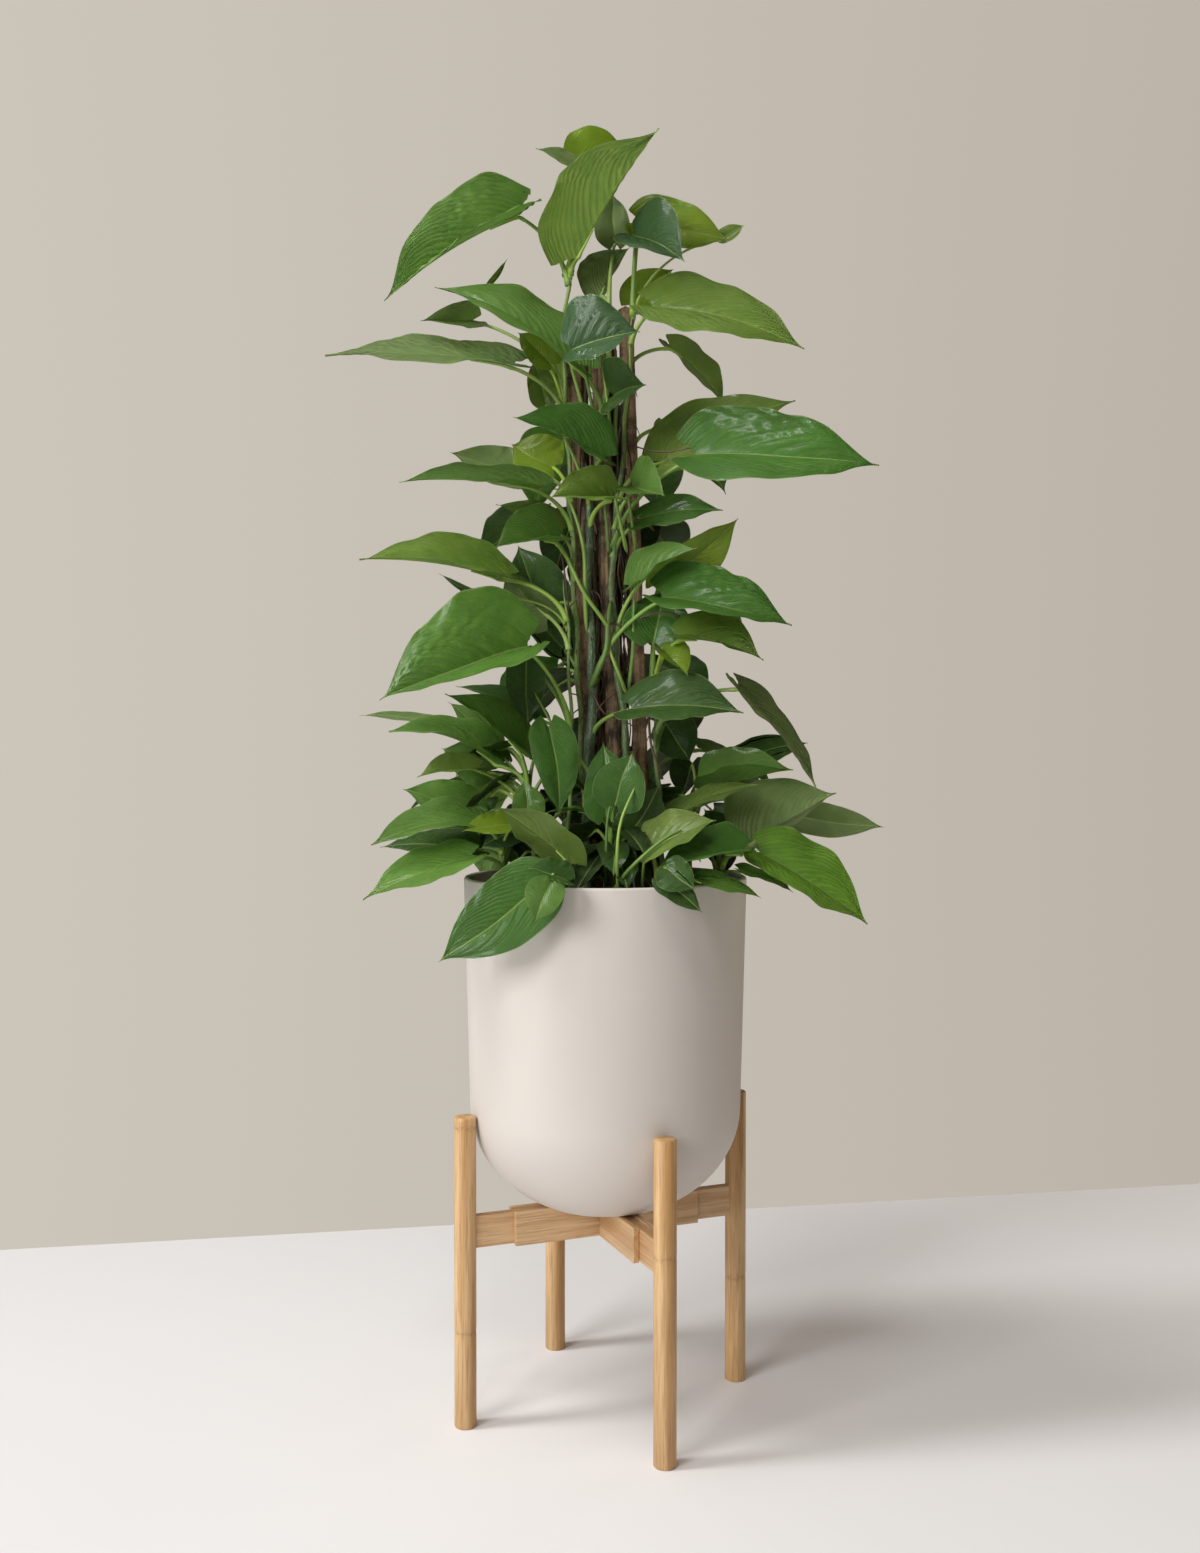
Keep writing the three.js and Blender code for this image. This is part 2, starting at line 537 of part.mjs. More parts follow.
// The same numbers on every run, from 0 to 1
function seededRandom(seed) {
  let state = seed;
  return () => {
    state = (Math.imul(state, 1664525) + 1013904223) >>> 0;
    return state / 4294967296;
  };
}

// Leaves on the side that is not seen: they spread outward from a stem in a fan of directions
const FAN = {
  droop: 18, droopSpread: 32, length: 84, lengthSpread: 40, widthShare: 0.7, rise: 26, riseSpread: 26,
  turn: 0.618, turnSpread: 12, reach: 0.8, reachSpread: 0.5, fold: 14, arch: 0.07, lift: 0.16,
};

function fan(stem, fromAngle, toAngle, count, lowest, highest, reach, seed) {
  const random = seededRandom(seed);
  for (let i = 0; i < count; i += 1) {
    const share = count === 1 ? 0.5 : i / (count - 1);
    const nodeZ = lowest + (highest - lowest) * share;
    const swing = (i * FAN.turn) % 1;
    const sway = FAN.turnSpread * (random() - 0.5);
    const azimuth = (fromAngle + (toAngle - fromAngle) * swing + sway) * RAD;
    const out = new THREE.Vector3(Math.cos(azimuth), Math.sin(azimuth), 0);
    const droop = (FAN.droop + FAN.droopSpread * random()) * RAD;
    const length = FAN.length + FAN.lengthSpread * random();
    const base = stemPoint(stem, nodeZ)
      .addScaledVector(out, reach * (FAN.reach + FAN.reachSpread * random()));
    base.z += FAN.rise + FAN.riseSpread * random();
    const tip = base.clone().addScaledVector(out, length * Math.cos(droop));
    tip.z -= length * Math.sin(droop);
    const normal = out.clone().multiplyScalar(Math.sin(droop));
    normal.z = Math.cos(droop);
    const width = FAN.widthShare * length;
    const { fold, arch, lift } = FAN;
    LEAVES[stem].push({ nodeZ, base, tip, normal, width, fold, arch, lift });
  }
}

const UPRIGHT = 4;               // how far over the mix a stem leaves its hole before it bends
const HALVINGS = 24;

// A stem's path starts straight down in its hole
function stemCurve(stem) {
  const path = STEMS[stem].path.map((point) => new THREE.Vector3(...point));
  const foot = path[0];
  return curveThrough([foot.clone().setZ(foot.z - ROOTING_DEPTH),
    foot.clone().setZ(foot.z + UPRIGHT), ...path.slice(1)]);
}

// The place on a stem at this height
function stemPoint(stem, height) {
  const curve = stemCurve(stem);
  let low = 0;
  let high = 1;
  for (let i = 0; i < HALVINGS; i += 1) {
    const middle = (low + high) / 2;
    if (curve.getPoint(middle).z < height) low = middle; else high = middle;
  }
  return curve.getPoint(low);
}

fan('climber_back_left', 95, 150, 6, 700, 1130, 60, 11);
fan('climber_back_right', 15, 85, 6, 680, 1140, 60, 23);
fan('bush_back_left', 118, 178, 4, 590, 655, 52, 3);
fan('bush_back_middle', 60, 130, 4, 590, 650, 36, 8);
fan('bush_back_right', 4, 68, 4, 590, 655, 52, 17);

const STEM = { sides: 5, taper: 0.3, extraSteps: 3 };
const stemMaterial = finish(COLOURS.leaf, 0.4);
for (const [name, { radius, path }] of Object.entries(STEMS)) {
  const curve = stemCurve(name);
  const steps = path.length + STEM.extraSteps;
  const radiusAt = (t) => radius * (1 - STEM.taper * t * t);
  const pieces = [tube(curve, radiusAt, STEM.sides, steps, new THREE.Vector3(0, 1, 0))];
  LEAVES[name].forEach((one, index) => {
    one.phase = 2.4 * index + name.length;
    pieces.push(petioleGeometry(stemPoint(name, one.nodeZ), one), bladeGeometry(one));
  });
  place(name, fuse(pieces), stemMaterial);
  rootHoles.push(rootHole(path[0][0], path[0][1], radius, ROOTING_DEPTH));
}

place('potting_mix', cut(mixGeometry(), rootHoles), finish(COLOURS.soil, 1));

export default model;
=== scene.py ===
# %% [markdown]
# # A potted jade pothos on an adjustable bamboo stand
#
# The plant is a jade pothos that climbs a bundle of rough stakes. It grows in a matte stoneware
# planter with a round bottom, and the planter stands in a four-legged bamboo stand. The engineering
# model of all this is already there as a fixed frame of plain solids. This lesson gives every solid
# its fine surface and its finish, and leaves each one where the frame has it.

# %% Load the frame
import math
import random
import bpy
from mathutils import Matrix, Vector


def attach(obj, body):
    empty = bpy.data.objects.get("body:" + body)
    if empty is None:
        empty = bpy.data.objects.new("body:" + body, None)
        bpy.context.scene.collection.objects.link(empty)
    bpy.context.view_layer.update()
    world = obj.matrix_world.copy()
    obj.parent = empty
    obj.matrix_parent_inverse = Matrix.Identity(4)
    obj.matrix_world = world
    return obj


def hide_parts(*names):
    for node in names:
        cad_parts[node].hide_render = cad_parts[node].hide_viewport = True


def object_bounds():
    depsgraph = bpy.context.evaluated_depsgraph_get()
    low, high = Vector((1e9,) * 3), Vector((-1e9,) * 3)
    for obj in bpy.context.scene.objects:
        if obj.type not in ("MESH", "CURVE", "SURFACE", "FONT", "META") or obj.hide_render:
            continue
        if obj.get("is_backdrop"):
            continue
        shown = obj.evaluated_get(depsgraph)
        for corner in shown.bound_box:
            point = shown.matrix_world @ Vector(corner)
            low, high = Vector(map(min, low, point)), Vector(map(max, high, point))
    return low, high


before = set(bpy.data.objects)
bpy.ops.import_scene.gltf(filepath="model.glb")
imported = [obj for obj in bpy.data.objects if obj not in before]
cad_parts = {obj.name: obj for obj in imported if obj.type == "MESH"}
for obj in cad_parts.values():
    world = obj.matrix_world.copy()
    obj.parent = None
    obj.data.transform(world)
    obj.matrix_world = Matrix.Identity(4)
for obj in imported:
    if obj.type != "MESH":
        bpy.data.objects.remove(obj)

from types import SimpleNamespace

import bmesh
import bpy
from mathutils import Matrix, Vector, noise

MM = 0.001
cad_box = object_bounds()
print("nodes in the frame:", len(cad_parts), "box in metres:", *cad_box)

# %% [markdown]
# ## The camera
#
# The picture was taken from straight in front, a little above the rim of the planter, from 1.64 m
# away. On a 36 mm sensor whose long side is the picture's height, a 34.6 mm lens gives the same
# perspective. The camera hardly tilts, so the legs and stakes stay upright in the picture.

# %% Camera
LENS = 34.6                      # mm
EYE = Vector((0, -1642.3, 723.3))   # mm
PITCH_DOWN = 1.06                # degrees
TURN_LEFT = 0.2                  # degrees

camera = bpy.data.objects.new("camera", bpy.data.cameras.new("camera"))
camera.data.lens = LENS
camera.location = EYE * MM
camera.rotation_euler = (math.radians(90 - PITCH_DOWN), 0, math.radians(TURN_LEFT))
bpy.context.scene.collection.objects.link(camera)
bpy.context.scene.camera = camera
print("camera at", tuple(round(value, 3) for value in camera.location))

# %% [markdown]
# ## Colours and nodes
#
# Colours are written as they look on a screen, in sRGB. Shaders work in linear light, so one
# function converts them. A pattern is given by its real size, and another function turns that into
# a texture's scale. A third function adds a node to a material, sets its properties and fills its
# inputs, each with a value or with another node.

# %% Helpers for materials
def linear(screen_colour):
    """An sRGB hex colour as linear red, green, blue and alpha."""
    channels = [int(screen_colour[i:i + 2], 16) / 255 for i in (1, 3, 5)]
    return (*[c / 12.92 if c <= 0.04045 else ((c + 0.055) / 1.055) ** 2.4 for c in channels], 1.0)


def tint(screen_colour):
    """The linear colour without its alpha, as a vector that can be blended."""
    return Vector(linear(screen_colour)[:3])


def per_metre(size):
    """The texture scale that draws a pattern of this size in mm."""
    return 1 / (size * MM)


def add_node(material, kind, inputs=None, **settings):
    """Add a node of this kind, with its settings and inputs.

    inputs maps a socket's name or number to a value, to a socket, or to a node, which stands for its
    first output that is in use.
    """
    node = material.node_tree.nodes.new("ShaderNode" + kind)
    for name, value in settings.items():
        setattr(node, name, value)
    for socket, value in (inputs or {}).items():
        if isinstance(value, bpy.types.Node):
            value = next(output for output in value.outputs if output.enabled)
        if isinstance(value, bpy.types.NodeSocket):
            material.node_tree.links.new(value, node.inputs[socket])
        else:
            node.inputs[socket].default_value = value
    return node


def new_material(name):
    """A material without nodes."""
    material = bpy.data.materials.new(name)
    material.use_nodes = True
    material.node_tree.nodes.clear()
    return material


def add_surface(material, inputs):
    """Give the material its Principled shader with these inputs, and return the material."""
    shader = add_node(material, "BsdfPrincipled", inputs)
    add_node(material, "OutputMaterial", {"Surface": shader})
    return material


MIX_FACTOR, MIX_A, MIX_B = 0, 6, 7    # the inputs of a Mix node that mixes colours
print("a warm off-white in linear light:", [round(channel, 3) for channel in tint("#D6CFC8")])

# %% [markdown]
# ## Pieces
#
# Each piece is built in millimetres in a bmesh. One function turns a finished bmesh into an object
# in metres. Another one first makes its faces point outward and look smooth, and then lets the
# object ride on its body of the frame, in place of the solid that it dresses.

# %% Helper for pieces
def as_object(name, bm, materials):
    """Turn a bmesh in millimetres into an object in metres with these materials."""
    bmesh.ops.scale(bm, vec=(MM, MM, MM), verts=bm.verts)
    mesh = bpy.data.meshes.new(name)
    bm.to_mesh(mesh)
    bm.free()
    for material in materials:
        mesh.materials.append(material)
    thing = bpy.data.objects.new(name, mesh)
    bpy.context.scene.collection.objects.link(thing)
    return thing


def make_piece(name, bm, materials, body="base", stands_for=()):
    """Turn a bmesh into a smooth piece that rides on a body of the frame."""
    bmesh.ops.recalc_face_normals(bm, faces=bm.faces)
    for face in bm.faces:
        face.smooth = True
    piece = as_object(name, bm, materials)
    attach(piece, body)
    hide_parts(*stands_for)
    triangles = sum(len(face.vertices) - 2 for face in piece.data.polygons)
    print(f"{name}: {triangles} triangles on {body}")
    return piece


print("pieces are made in millimetres and scaled by", MM)

# %% [markdown]
# ## Leaf finish
#
# A pothos leaf is smooth and waxy above, with a pale midrib, pale side veins that curve toward the
# tip, and a thin pale margin. The side veins aren't straight lines in space, so the pattern can't
# come from object coordinates. Every blade carries an attribute instead: how far along the blade a
# point lies (0 to 1), how far across (-1 to 1), and how many millimetres across. The veins are then
# plain arithmetic on these three numbers. A second attribute holds the leaf's own green, and its
# roughness in the alpha channel.

# %% Leaf materials
VEINS = SimpleNamespace(
    side=13, fine=65,            # on each half of a blade
    sweep=0.74, bend=1.4,        # how far a side vein runs forward, and how much it curves on its way
    wander=0.11,                 # how far a vein strays along the blade
    line=0.1, fine_line=0.4,     # half widths, as shares of the step from one vein to the next
    valley=0.5, relief=4.0)      # the half width of a valley's groove and its painted shade, and its depth against a fine vein's
MIDRIB = SimpleNamespace(full=0.32, gone=1.28)            # mm from the middle
MARGIN = SimpleNamespace(gone=0.965, full=0.995)          # shares of the half width
LEAF_SKIN = SimpleNamespace(
    blotch=29.4, patch=58.8, relief=0.34,                 # mm
    grain=1.111, grain_relief=0.3,    # mm and share; real cells are finer, and wouldn't show
    shade=(0.6, 0.74, 0.64, 1.0), back="#9AB862", back_share=0.55)


def vein_lines(material, phase, count, half_width):
    """1 on a vein and 0 between two, for this many veins along the blade."""
    scaled = add_node(material, "Math", {0: phase, 1: count}, operation="MULTIPLY")
    folded = add_node(material, "Math", {0: scaled, 1: 0.5}, operation="PINGPONG")
    return add_node(material, "MapRange", {
        "Value": folded, "From Max": half_width, "To Min": 1.0, "To Max": 0.0},
        interpolation_type="SMOOTHSTEP")


def leaf_material(name, underside):
    """Living leaf tissue: a waxy skin above, a duller and paler one with raised veins below."""
    material = new_material(name)
    tone = add_node(material, "Attribute", attribute_name="tone")
    blade = add_node(material, "Attribute", attribute_name="blade")
    parts = add_node(material, "SeparateXYZ", {0: blade.outputs["Vector"]})
    across = add_node(material, "Math", {0: parts.outputs["Y"]}, operation="ABSOLUTE")
    place = add_node(material, "TexCoord").outputs["Object"]
    blotches = add_node(material, "TexNoise", {
        "Vector": place, "Scale": per_metre(LEAF_SKIN.blotch), "Detail": 4.0, "Roughness": 0.65})

    bent = add_node(material, "Math", {0: across, 1: VEINS.bend}, operation="POWER")
    swept = add_node(material, "Math", {0: bent, 1: -VEINS.sweep, 2: parts.outputs["X"]},
                     operation="MULTIPLY_ADD")
    phase = add_node(material, "Math", {0: blotches, 1: VEINS.wander, 2: swept},
                     operation="MULTIPLY_ADD")
    main_veins = vein_lines(material, phase, VEINS.side, VEINS.line)
    fine_veins = vein_lines(material, phase, VEINS.fine, VEINS.fine_line)
    patches = add_node(material, "TexNoise", {
        "Vector": place, "Scale": per_metre(LEAF_SKIN.patch), "Detail": 1.0})
    here = add_node(material, "MapRange", {
        "Value": patches, "From Min": 0.42, "From Max": 0.6, "To Min": 0.35})
    valley_groove_shade = add_node(material, "Math", {
        0: vein_lines(material, phase, VEINS.side, VEINS.valley), 1: here}, operation="MULTIPLY")
    millimetres = add_node(material, "Math", {0: parts.outputs["Z"]}, operation="ABSOLUTE")
    midrib = add_node(material, "MapRange", {
        "Value": millimetres, "From Min": MIDRIB.full, "From Max": MIDRIB.gone,
        "To Min": 1.0, "To Max": 0.0}, interpolation_type="SMOOTHSTEP")
    margin = add_node(material, "MapRange", {
        "Value": across, "From Min": MARGIN.gone, "From Max": MARGIN.full})

    lightness = add_node(material, "MapRange", {"Value": blotches, "From Min": 0.3, "From Max": 0.7})
    shaded = add_node(material, "Mix", {
        MIX_FACTOR: 1.0, MIX_A: tone.outputs["Color"], MIX_B: LEAF_SKIN.shade},
        data_type="RGBA", blend_type="MULTIPLY")
    skin = add_node(material, "Mix", {
        MIX_FACTOR: lightness, MIX_A: shaded, MIX_B: tone.outputs["Color"]}, data_type="RGBA")
    if underside:
        skin = add_node(material, "Mix", {
            MIX_FACTOR: LEAF_SKIN.back_share, MIX_A: skin, MIX_B: linear(LEAF_SKIN.back)},
            data_type="RGBA")
    # the dark green of the valley grooves is painted shade along the side veins
    layers = [
        (valley_groove_shade, "#2C4A1E", 0.34), (fine_veins, "#A8BF78", 0.16),
        (main_veins, "#A9C27A", 0.34 if underside else 0.24),
        (margin, "#B4CB86", 0.6), (midrib, "#AFC970", 0.8),
    ]
    for mask, screen_colour, strength in layers:
        share = add_node(material, "Math", {0: mask, 1: strength}, operation="MULTIPLY")
        skin = add_node(material, "Mix", {
            MIX_FACTOR: share, MIX_A: skin, MIX_B: linear(screen_colour)}, data_type="RGBA")

    grain = add_node(material, "TexNoise", {
        "Vector": place, "Scale": per_metre(LEAF_SKIN.grain), "Detail": 2.0})
    raised = VEINS.relief if underside else -VEINS.relief
    ribs = add_node(material, "Math", {0: valley_groove_shade, 1: raised, 2: fine_veins}, operation="MULTIPLY_ADD")
    height = add_node(material, "Math", {0: grain, 1: LEAF_SKIN.grain_relief, 2: ribs},
                      operation="MULTIPLY_ADD")
    bump = add_node(material, "Bump", {
        "Strength": 0.5, "Distance": LEAF_SKIN.relief * MM, "Height": height})
    gloss = {"Roughness": 0.62} if underside else {
        "Roughness": tone.outputs["Alpha"], "Coat Weight": 0.55, "Coat Roughness": 0.18}
    return add_surface(material, {
        "Base Color": skin, "Normal": bump, "Specular IOR Level": 0.3, "IOR": 1.45, **gloss})


leaf_upper = leaf_material("leaf_upper_wax", underside=False)
leaf_under = leaf_material("leaf_underside", underside=True)
print("side veins on a blade:", 2 * VEINS.side)

# %% [markdown]
# ## Stem finish
#
# Leaf stalks are smooth, yellow-green and a little glossy. The climbing vines are older: dark
# blue-green, with wrinkled grey-white streaks along them. One material serves both. The attribute
# "tone" gives the colour, and in its alpha how old the skin is. The attribute "run" holds a place on
# the tube as if it were straight, so the streaks follow every bend.

# %% Stem and root materials
STREAK = SimpleNamespace(width=0.833, stretch=0.14, relief=0.5)    # mm, share, mm


def stem_material():
    """Stem skin: waxy and even when young, corky and streaked when old."""
    material = new_material("stem_skin")
    tone = add_node(material, "Attribute", attribute_name="tone")
    run = add_node(material, "Attribute", attribute_name="run")      # in mm
    stretched = add_node(material, "Mapping", {
        "Vector": run.outputs["Vector"], "Scale": (1, 1, STREAK.stretch)})
    streaks = add_node(material, "TexNoise", {
        "Vector": stretched, "Scale": 1 / STREAK.width, "Detail": 5.0, "Roughness": 0.65})
    white = add_node(material, "MapRange", {
        "Value": streaks, "From Min": 0.53, "From Max": 0.63, "To Max": 0.6})
    aged = add_node(material, "Math", {0: white, 1: tone.outputs["Alpha"]}, operation="MULTIPLY")
    flecked = add_node(material, "Mix", {
        MIX_FACTOR: aged, MIX_A: tone.outputs["Color"], MIX_B: linear("#A9B494")}, data_type="RGBA")
    bump = add_node(material, "Bump", {
        "Strength": 0.6, "Distance": STREAK.relief * MM, "Height": streaks})
    return add_surface(material, {
        "Base Color": flecked, "Normal": bump, "Roughness": 0.42, "IOR": 1.45})


stem_skin = stem_material()
print("stem skin made")

# %% [markdown]
# ## The shape of one leaf
#
# A blade is a heart with a drawn-out tip. It is worked out on a flat sheet of two coordinates: u
# runs from the leaf stalk to the tip and v across. Formulas give the outline, the way its halves
# fold up, the arch, the groove of the midrib and the ripples between the side veins. The base and
# the tip of each blade are the ones that the frame's solids have.

# %% Leaf formulas
BLADE = SimpleNamespace(
    thickness=0.9, shoulder=0.3, base=0.32, base_curve=3.6, tip_curve=2.05, tip_pinch=1.05,
    tip_draw=0.8, lobe=0.288, lobe_return=0.162, bulge=0.13, wave=0.06, waves=9, curl=0.03,
    curls=20.7, sway=0.035, uneven=0.08, thin_tip=0.92, tip_thinning=0.7)
RIPPLE = SimpleNamespace(
    height=1.6, count=6,         # mm, on a blade 100 mm wide, and how many on each half of a blade
    wander=0.06, flat_near_rib=(0.04, 0.3), margin_fade=0.6,
    least=0.2, usual=0.7, spread=1.5)                     # how strong it is from place to place
GROOVE = SimpleNamespace(depth=0.7, half_width=2.2)       # mm
DENT = 3.0                       # mm, on a blade 100 mm wide
BLADE_NOISE = (                  # waves along and across a blade, and offset
    (2.2, 1.4, 3),               # bends in the ripples
    (2.1, 1.7, 7),               # patches with stronger ripples
    (2.6, 1.9, 0),               # dents
)


def half_width_share(u):
    """The blade's half width at u, as a share of its greatest half width."""
    if u < BLADE.shoulder:
        k = (BLADE.shoulder - u) / BLADE.shoulder
        return 1 - (1 - BLADE.base) * k ** BLADE.base_curve
    k = min(1.0, (u - BLADE.shoulder) / (1 - BLADE.shoulder))
    return (1 - k ** BLADE.tip_curve) ** (BLADE.tip_pinch + BLADE.tip_draw * k ** 4)


def smooth_step(low, high, value):
    """0 below low, 1 above high, and a smooth rise between them."""
    k = min(1.0, max(0.0, (value - low) / (high - low)))
    return k * k * (3 - 2 * k)


def relief(leaf, u, v):
    """The small height that ripples, groove and soft dents add to a blade, in mm."""
    size = leaf.width / 100
    across = abs(v)
    bends, patches, dents = (
        noise.noise(Vector((along * u, sideways * v, leaf.phase + offset)))
        for along, sideways, offset in BLADE_NOISE)
    phase = u - VEINS.sweep * across ** VEINS.bend + RIPPLE.wander * bends
    fade = smooth_step(*RIPPLE.flat_near_rib, across) * (1 - RIPPLE.margin_fade * across ** 6)
    strength = max(RIPPLE.least, RIPPLE.usual + RIPPLE.spread * patches) * fade * (1 - u ** 5)
    ripple = RIPPLE.height * size * strength * math.sin(math.tau * RIPPLE.count * phase + leaf.phase)
    millimetres = across * leaf.width / 2 * half_width_share(u)
    groove = -GROOVE.depth * math.exp(-(millimetres / GROOVE.half_width) ** 2) * (1 - u ** 3)
    return ripple + groove + DENT * size * dents * across ** 0.5


def blade_point(leaf, u, v):
    """A point on the blade's middle surface. The leaf's phase keeps it unlike its neighbours."""
    side_sign = (v > 0) - (v < 0)
    uneven = BLADE.uneven * math.cos(5.1 * leaf.phase)
    sway = BLADE.sway * leaf.length * math.sin(3.7 * leaf.phase) * math.sin(math.pi * u) ** 2
    half = leaf.width / 2 * half_width_share(u) * (1 + side_sign * uneven)
    across = abs(v)
    fold = math.radians(leaf.fold)
    lift = half * across * math.sin(fold)
    lift += BLADE.bulge * half * across * (1 - across)
    lift += BLADE.wave * half * v * v * math.sin(BLADE.waves * u + leaf.phase + side_sign)
    lift += BLADE.curl * half * v ** 4 * math.sin(BLADE.curls * u + 3 * leaf.phase)
    lift += leaf.arch * leaf.length * 4 * u * (1 - u) + relief(leaf, u, v)
    back = (BLADE.lobe * v * v - BLADE.lobe_return * v ** 4) * (1 - u) ** 3
    return (leaf.base + leaf.along * (leaf.length * (u - back))
            + leaf.side * (half * v * math.cos(fold) + sway) + leaf.normal * lift)


print("half width at a quarter, half and nine tenths:",
      [round(half_width_share(u), 2) for u in (0.25, 0.5, 0.9)])

# %% [markdown]
# ## From a sheet to a blade
#
# A leaf is about a millimetre thick, and the exported mesh has to be a closed body. A Solidify
# modifier would give it one thickness, but a real blade is thinner at its tip. So the sheet is
# extruded in place, and its two sides then move apart along their normals. At the tip, where a row of
# the grid shrinks to a point, the row is merged first.

# %% Leaf mesh
BLADE_GRID = {"large": (48, 24), "small": (30, 16), "inner": (18, 10)}   # quads along and across
LARGE_AREA = 5200                # mm2, length times width
GATHER = 1.35                    # over 1, the grid's lines gather at the midrib
TIP_MERGE = 0.01                 # mm


def add_blade(bm, leaf):
    """A closed blade: a flat grid bent to the leaf's shape, then given its thickness."""
    tone_layer = bm.verts.layers.float_color["tone"]
    blade_layer = bm.verts.layers.float_vector["blade"]
    size = "large" if leaf.length * leaf.width > LARGE_AREA else "small"
    rows, columns = BLADE_GRID["inner" if leaf.is_inner else size]
    sheet = bmesh.ops.create_grid(bm, x_segments=rows, y_segments=columns, size=0.5)["verts"]
    for corner in sheet:
        u = corner.co.x + 0.5
        even = -2 * corner.co.y
        v = math.copysign(abs(even) ** GATHER, even)
        corner[tone_layer] = (*leaf.colour, leaf.roughness)
        corner[blade_layer] = (u, v, v * leaf.width / 2 * half_width_share(u))
        corner.co = blade_point(leaf, u, v)
    bmesh.ops.remove_doubles(bm, verts=sheet, dist=TIP_MERGE)
    sheet = [corner for corner in sheet if corner.is_valid]
    faces = list({face for corner in sheet for face in corner.link_faces})
    edges = list({edge for face in faces for edge in face.edges})
    rim = [edge for edge in edges if edge.is_boundary]
    made = bmesh.ops.extrude_face_region(bm, geom=faces + edges + sheet, use_keep_orig=True)
    top = [item for item in made["geom"] if isinstance(item, bmesh.types.BMVert)]
    bm.normal_update()
    for corners, way in ((top, 1), (sheet, -1)):
        for corner in corners:
            thinning = BLADE.tip_thinning * smooth_step(BLADE.thin_tip, 1.0, corner[blade_layer].x)
            corner.co += corner.normal * (way * BLADE.thickness / 2 * (1 - thinning))
    for face in faces:
        face.material_index = 1
    walls = {face for edge in rim for face in edge.link_faces} - set(faces)
    for wall in walls:
        for edge in wall.edges:
            edge.smooth = all(face in walls for face in edge.link_faces)


for size, (rows, columns) in BLADE_GRID.items():
    print("quads on one side of a blade,", size, "grid:", rows * columns)

# %% [markdown]
# ## Tubes
#
# Stalks, vines and aerial roots are closed tubes. A flat grid is rolled round a list of centres, its
# seam is merged and its two ends are filled. The side direction is carried along from ring to ring,
# so the tube doesn't twist where the path turns.

# %% Curves and tubes
MERGE = 0.001                    # mm, corners nearer to each other than this become one
RIB_TWIST = 0.02                 # radians for each mm along a ribbed stem


def through(points, steps):
    """Places on a smooth curve through these points (a uniform Catmull-Rom spline)."""
    first = 2 * points[0] - points[1]
    last = 2 * points[-1] - points[-2]
    padded = [first, *points, last]
    places = []
    for step in range(steps + 1):
        along = (len(points) - 1) * step / steps
        index = min(int(along), len(points) - 2)
        before, start, end, after = padded[index:index + 4]
        leave = (end - before) / 2
        arrive = (after - start) / 2
        t = along - index
        places.append(start + leave * t + (3 * (end - start) - 2 * leave - arrive) * t ** 2
                      + (2 * (start - end) + leave + arrive) * t ** 3)
    return places


def add_tube(bm, centres, radii, sides, colours, age=0.0, ribs=0, rib_height=0.0):
    """A closed tube round these centres, with a radius and a colour for each of them."""
    tone_layer = bm.verts.layers.float_color["tone"]
    run_layer = bm.verts.layers.float_vector["run"]
    steps = len(centres) - 1
    lengths = [0.0]
    frames = []
    side = (centres[1] - centres[0]).orthogonal()
    for row, centre in enumerate(centres):
        tangent = (centres[min(row + 1, steps)] - centres[max(row - 1, 0)]).normalized()
        side = (side - tangent * side.dot(tangent)).normalized()
        frames.append((side, tangent.cross(side)))
        if row:
            lengths.append(lengths[-1] + (centre - centres[row - 1]).length)
    corners = bmesh.ops.create_grid(bm, x_segments=steps, y_segments=sides, size=0.5)["verts"]
    for corner in corners:
        row = round((corner.co.x + 0.5) * steps)
        angle = -math.tau * (corner.co.y + 0.5)
        radius = radii[row] * (1 + rib_height * math.sin(ribs * angle + RIB_TWIST * lengths[row]))
        side, front = frames[row]
        corner[tone_layer] = (*colours[row], age)
        corner[run_layer] = (radius * math.cos(angle), radius * math.sin(angle), lengths[row])
        corner.co = centres[row] + radius * (side * math.cos(angle) + front * math.sin(angle))
    bmesh.ops.remove_doubles(bm, verts=corners, dist=MERGE)
    ends = {edge for corner in corners if corner.is_valid for edge in corner.link_edges
            if edge.is_boundary}
    bmesh.ops.holes_fill(bm, edges=list(ends), sides=0)


def add_even_tube(bm, centres, radius, sides, colour, age):
    """A closed tube with one radius and one colour."""
    add_tube(bm, centres, [radius] * len(centres), sides, [colour] * len(centres), age)


print("a curve through three points:", [round(place.z, 2) for place in through(
    [Vector((0, 0, 0)), Vector((0, 1, 2)), Vector((0, 0, 4))], 4)])

# %% [markdown]
# ## Where the stems and leaves are
#
# The stems' paths and the leaves' bases and tips repeat the frame's own values. A leaf is placed as
# it is seen from the front: across and up on the plane through the planter's axis, and then so many
# millimetres toward the eye. A word gives its green. Real leaves on one plant differ a lot: young
# ones are yellow-green, old ones deep green, and those that show their underside are pale and dull.

# %% Leaf tones and one leaf
TONES = {                        # colour and roughness
    "bright": ("#78AA42", 0.34), "deep": ("#5F983A", 0.32), "mid": ("#8AB852", 0.40),
    "fresh": ("#9CBA4C", 0.42), "lime": ("#B2CE2E", 0.42), "olive": ("#A0B856", 0.48),
    "teal": ("#517C50", 0.36), "dark": ("#4E7834", 0.36), "pale": ("#A8BE78", 0.50),
    # "sunny" is partly a leaf's own yellow-green and partly painted light; "shaded" is painted shade
    "sunny": ("#8ABA3A", 0.34), "shaded": ("#35531F", 0.45),
}
TONE_SPREAD = 0.10               # how far one leaf's green strays from its word
STEM_EYE = Vector((0, -1642, 723))   # mm, the eye that the leaves' places are given for
LEVEL = 0.05                     # a direction that rises less than this counts as level
tone_random = random.Random(5)


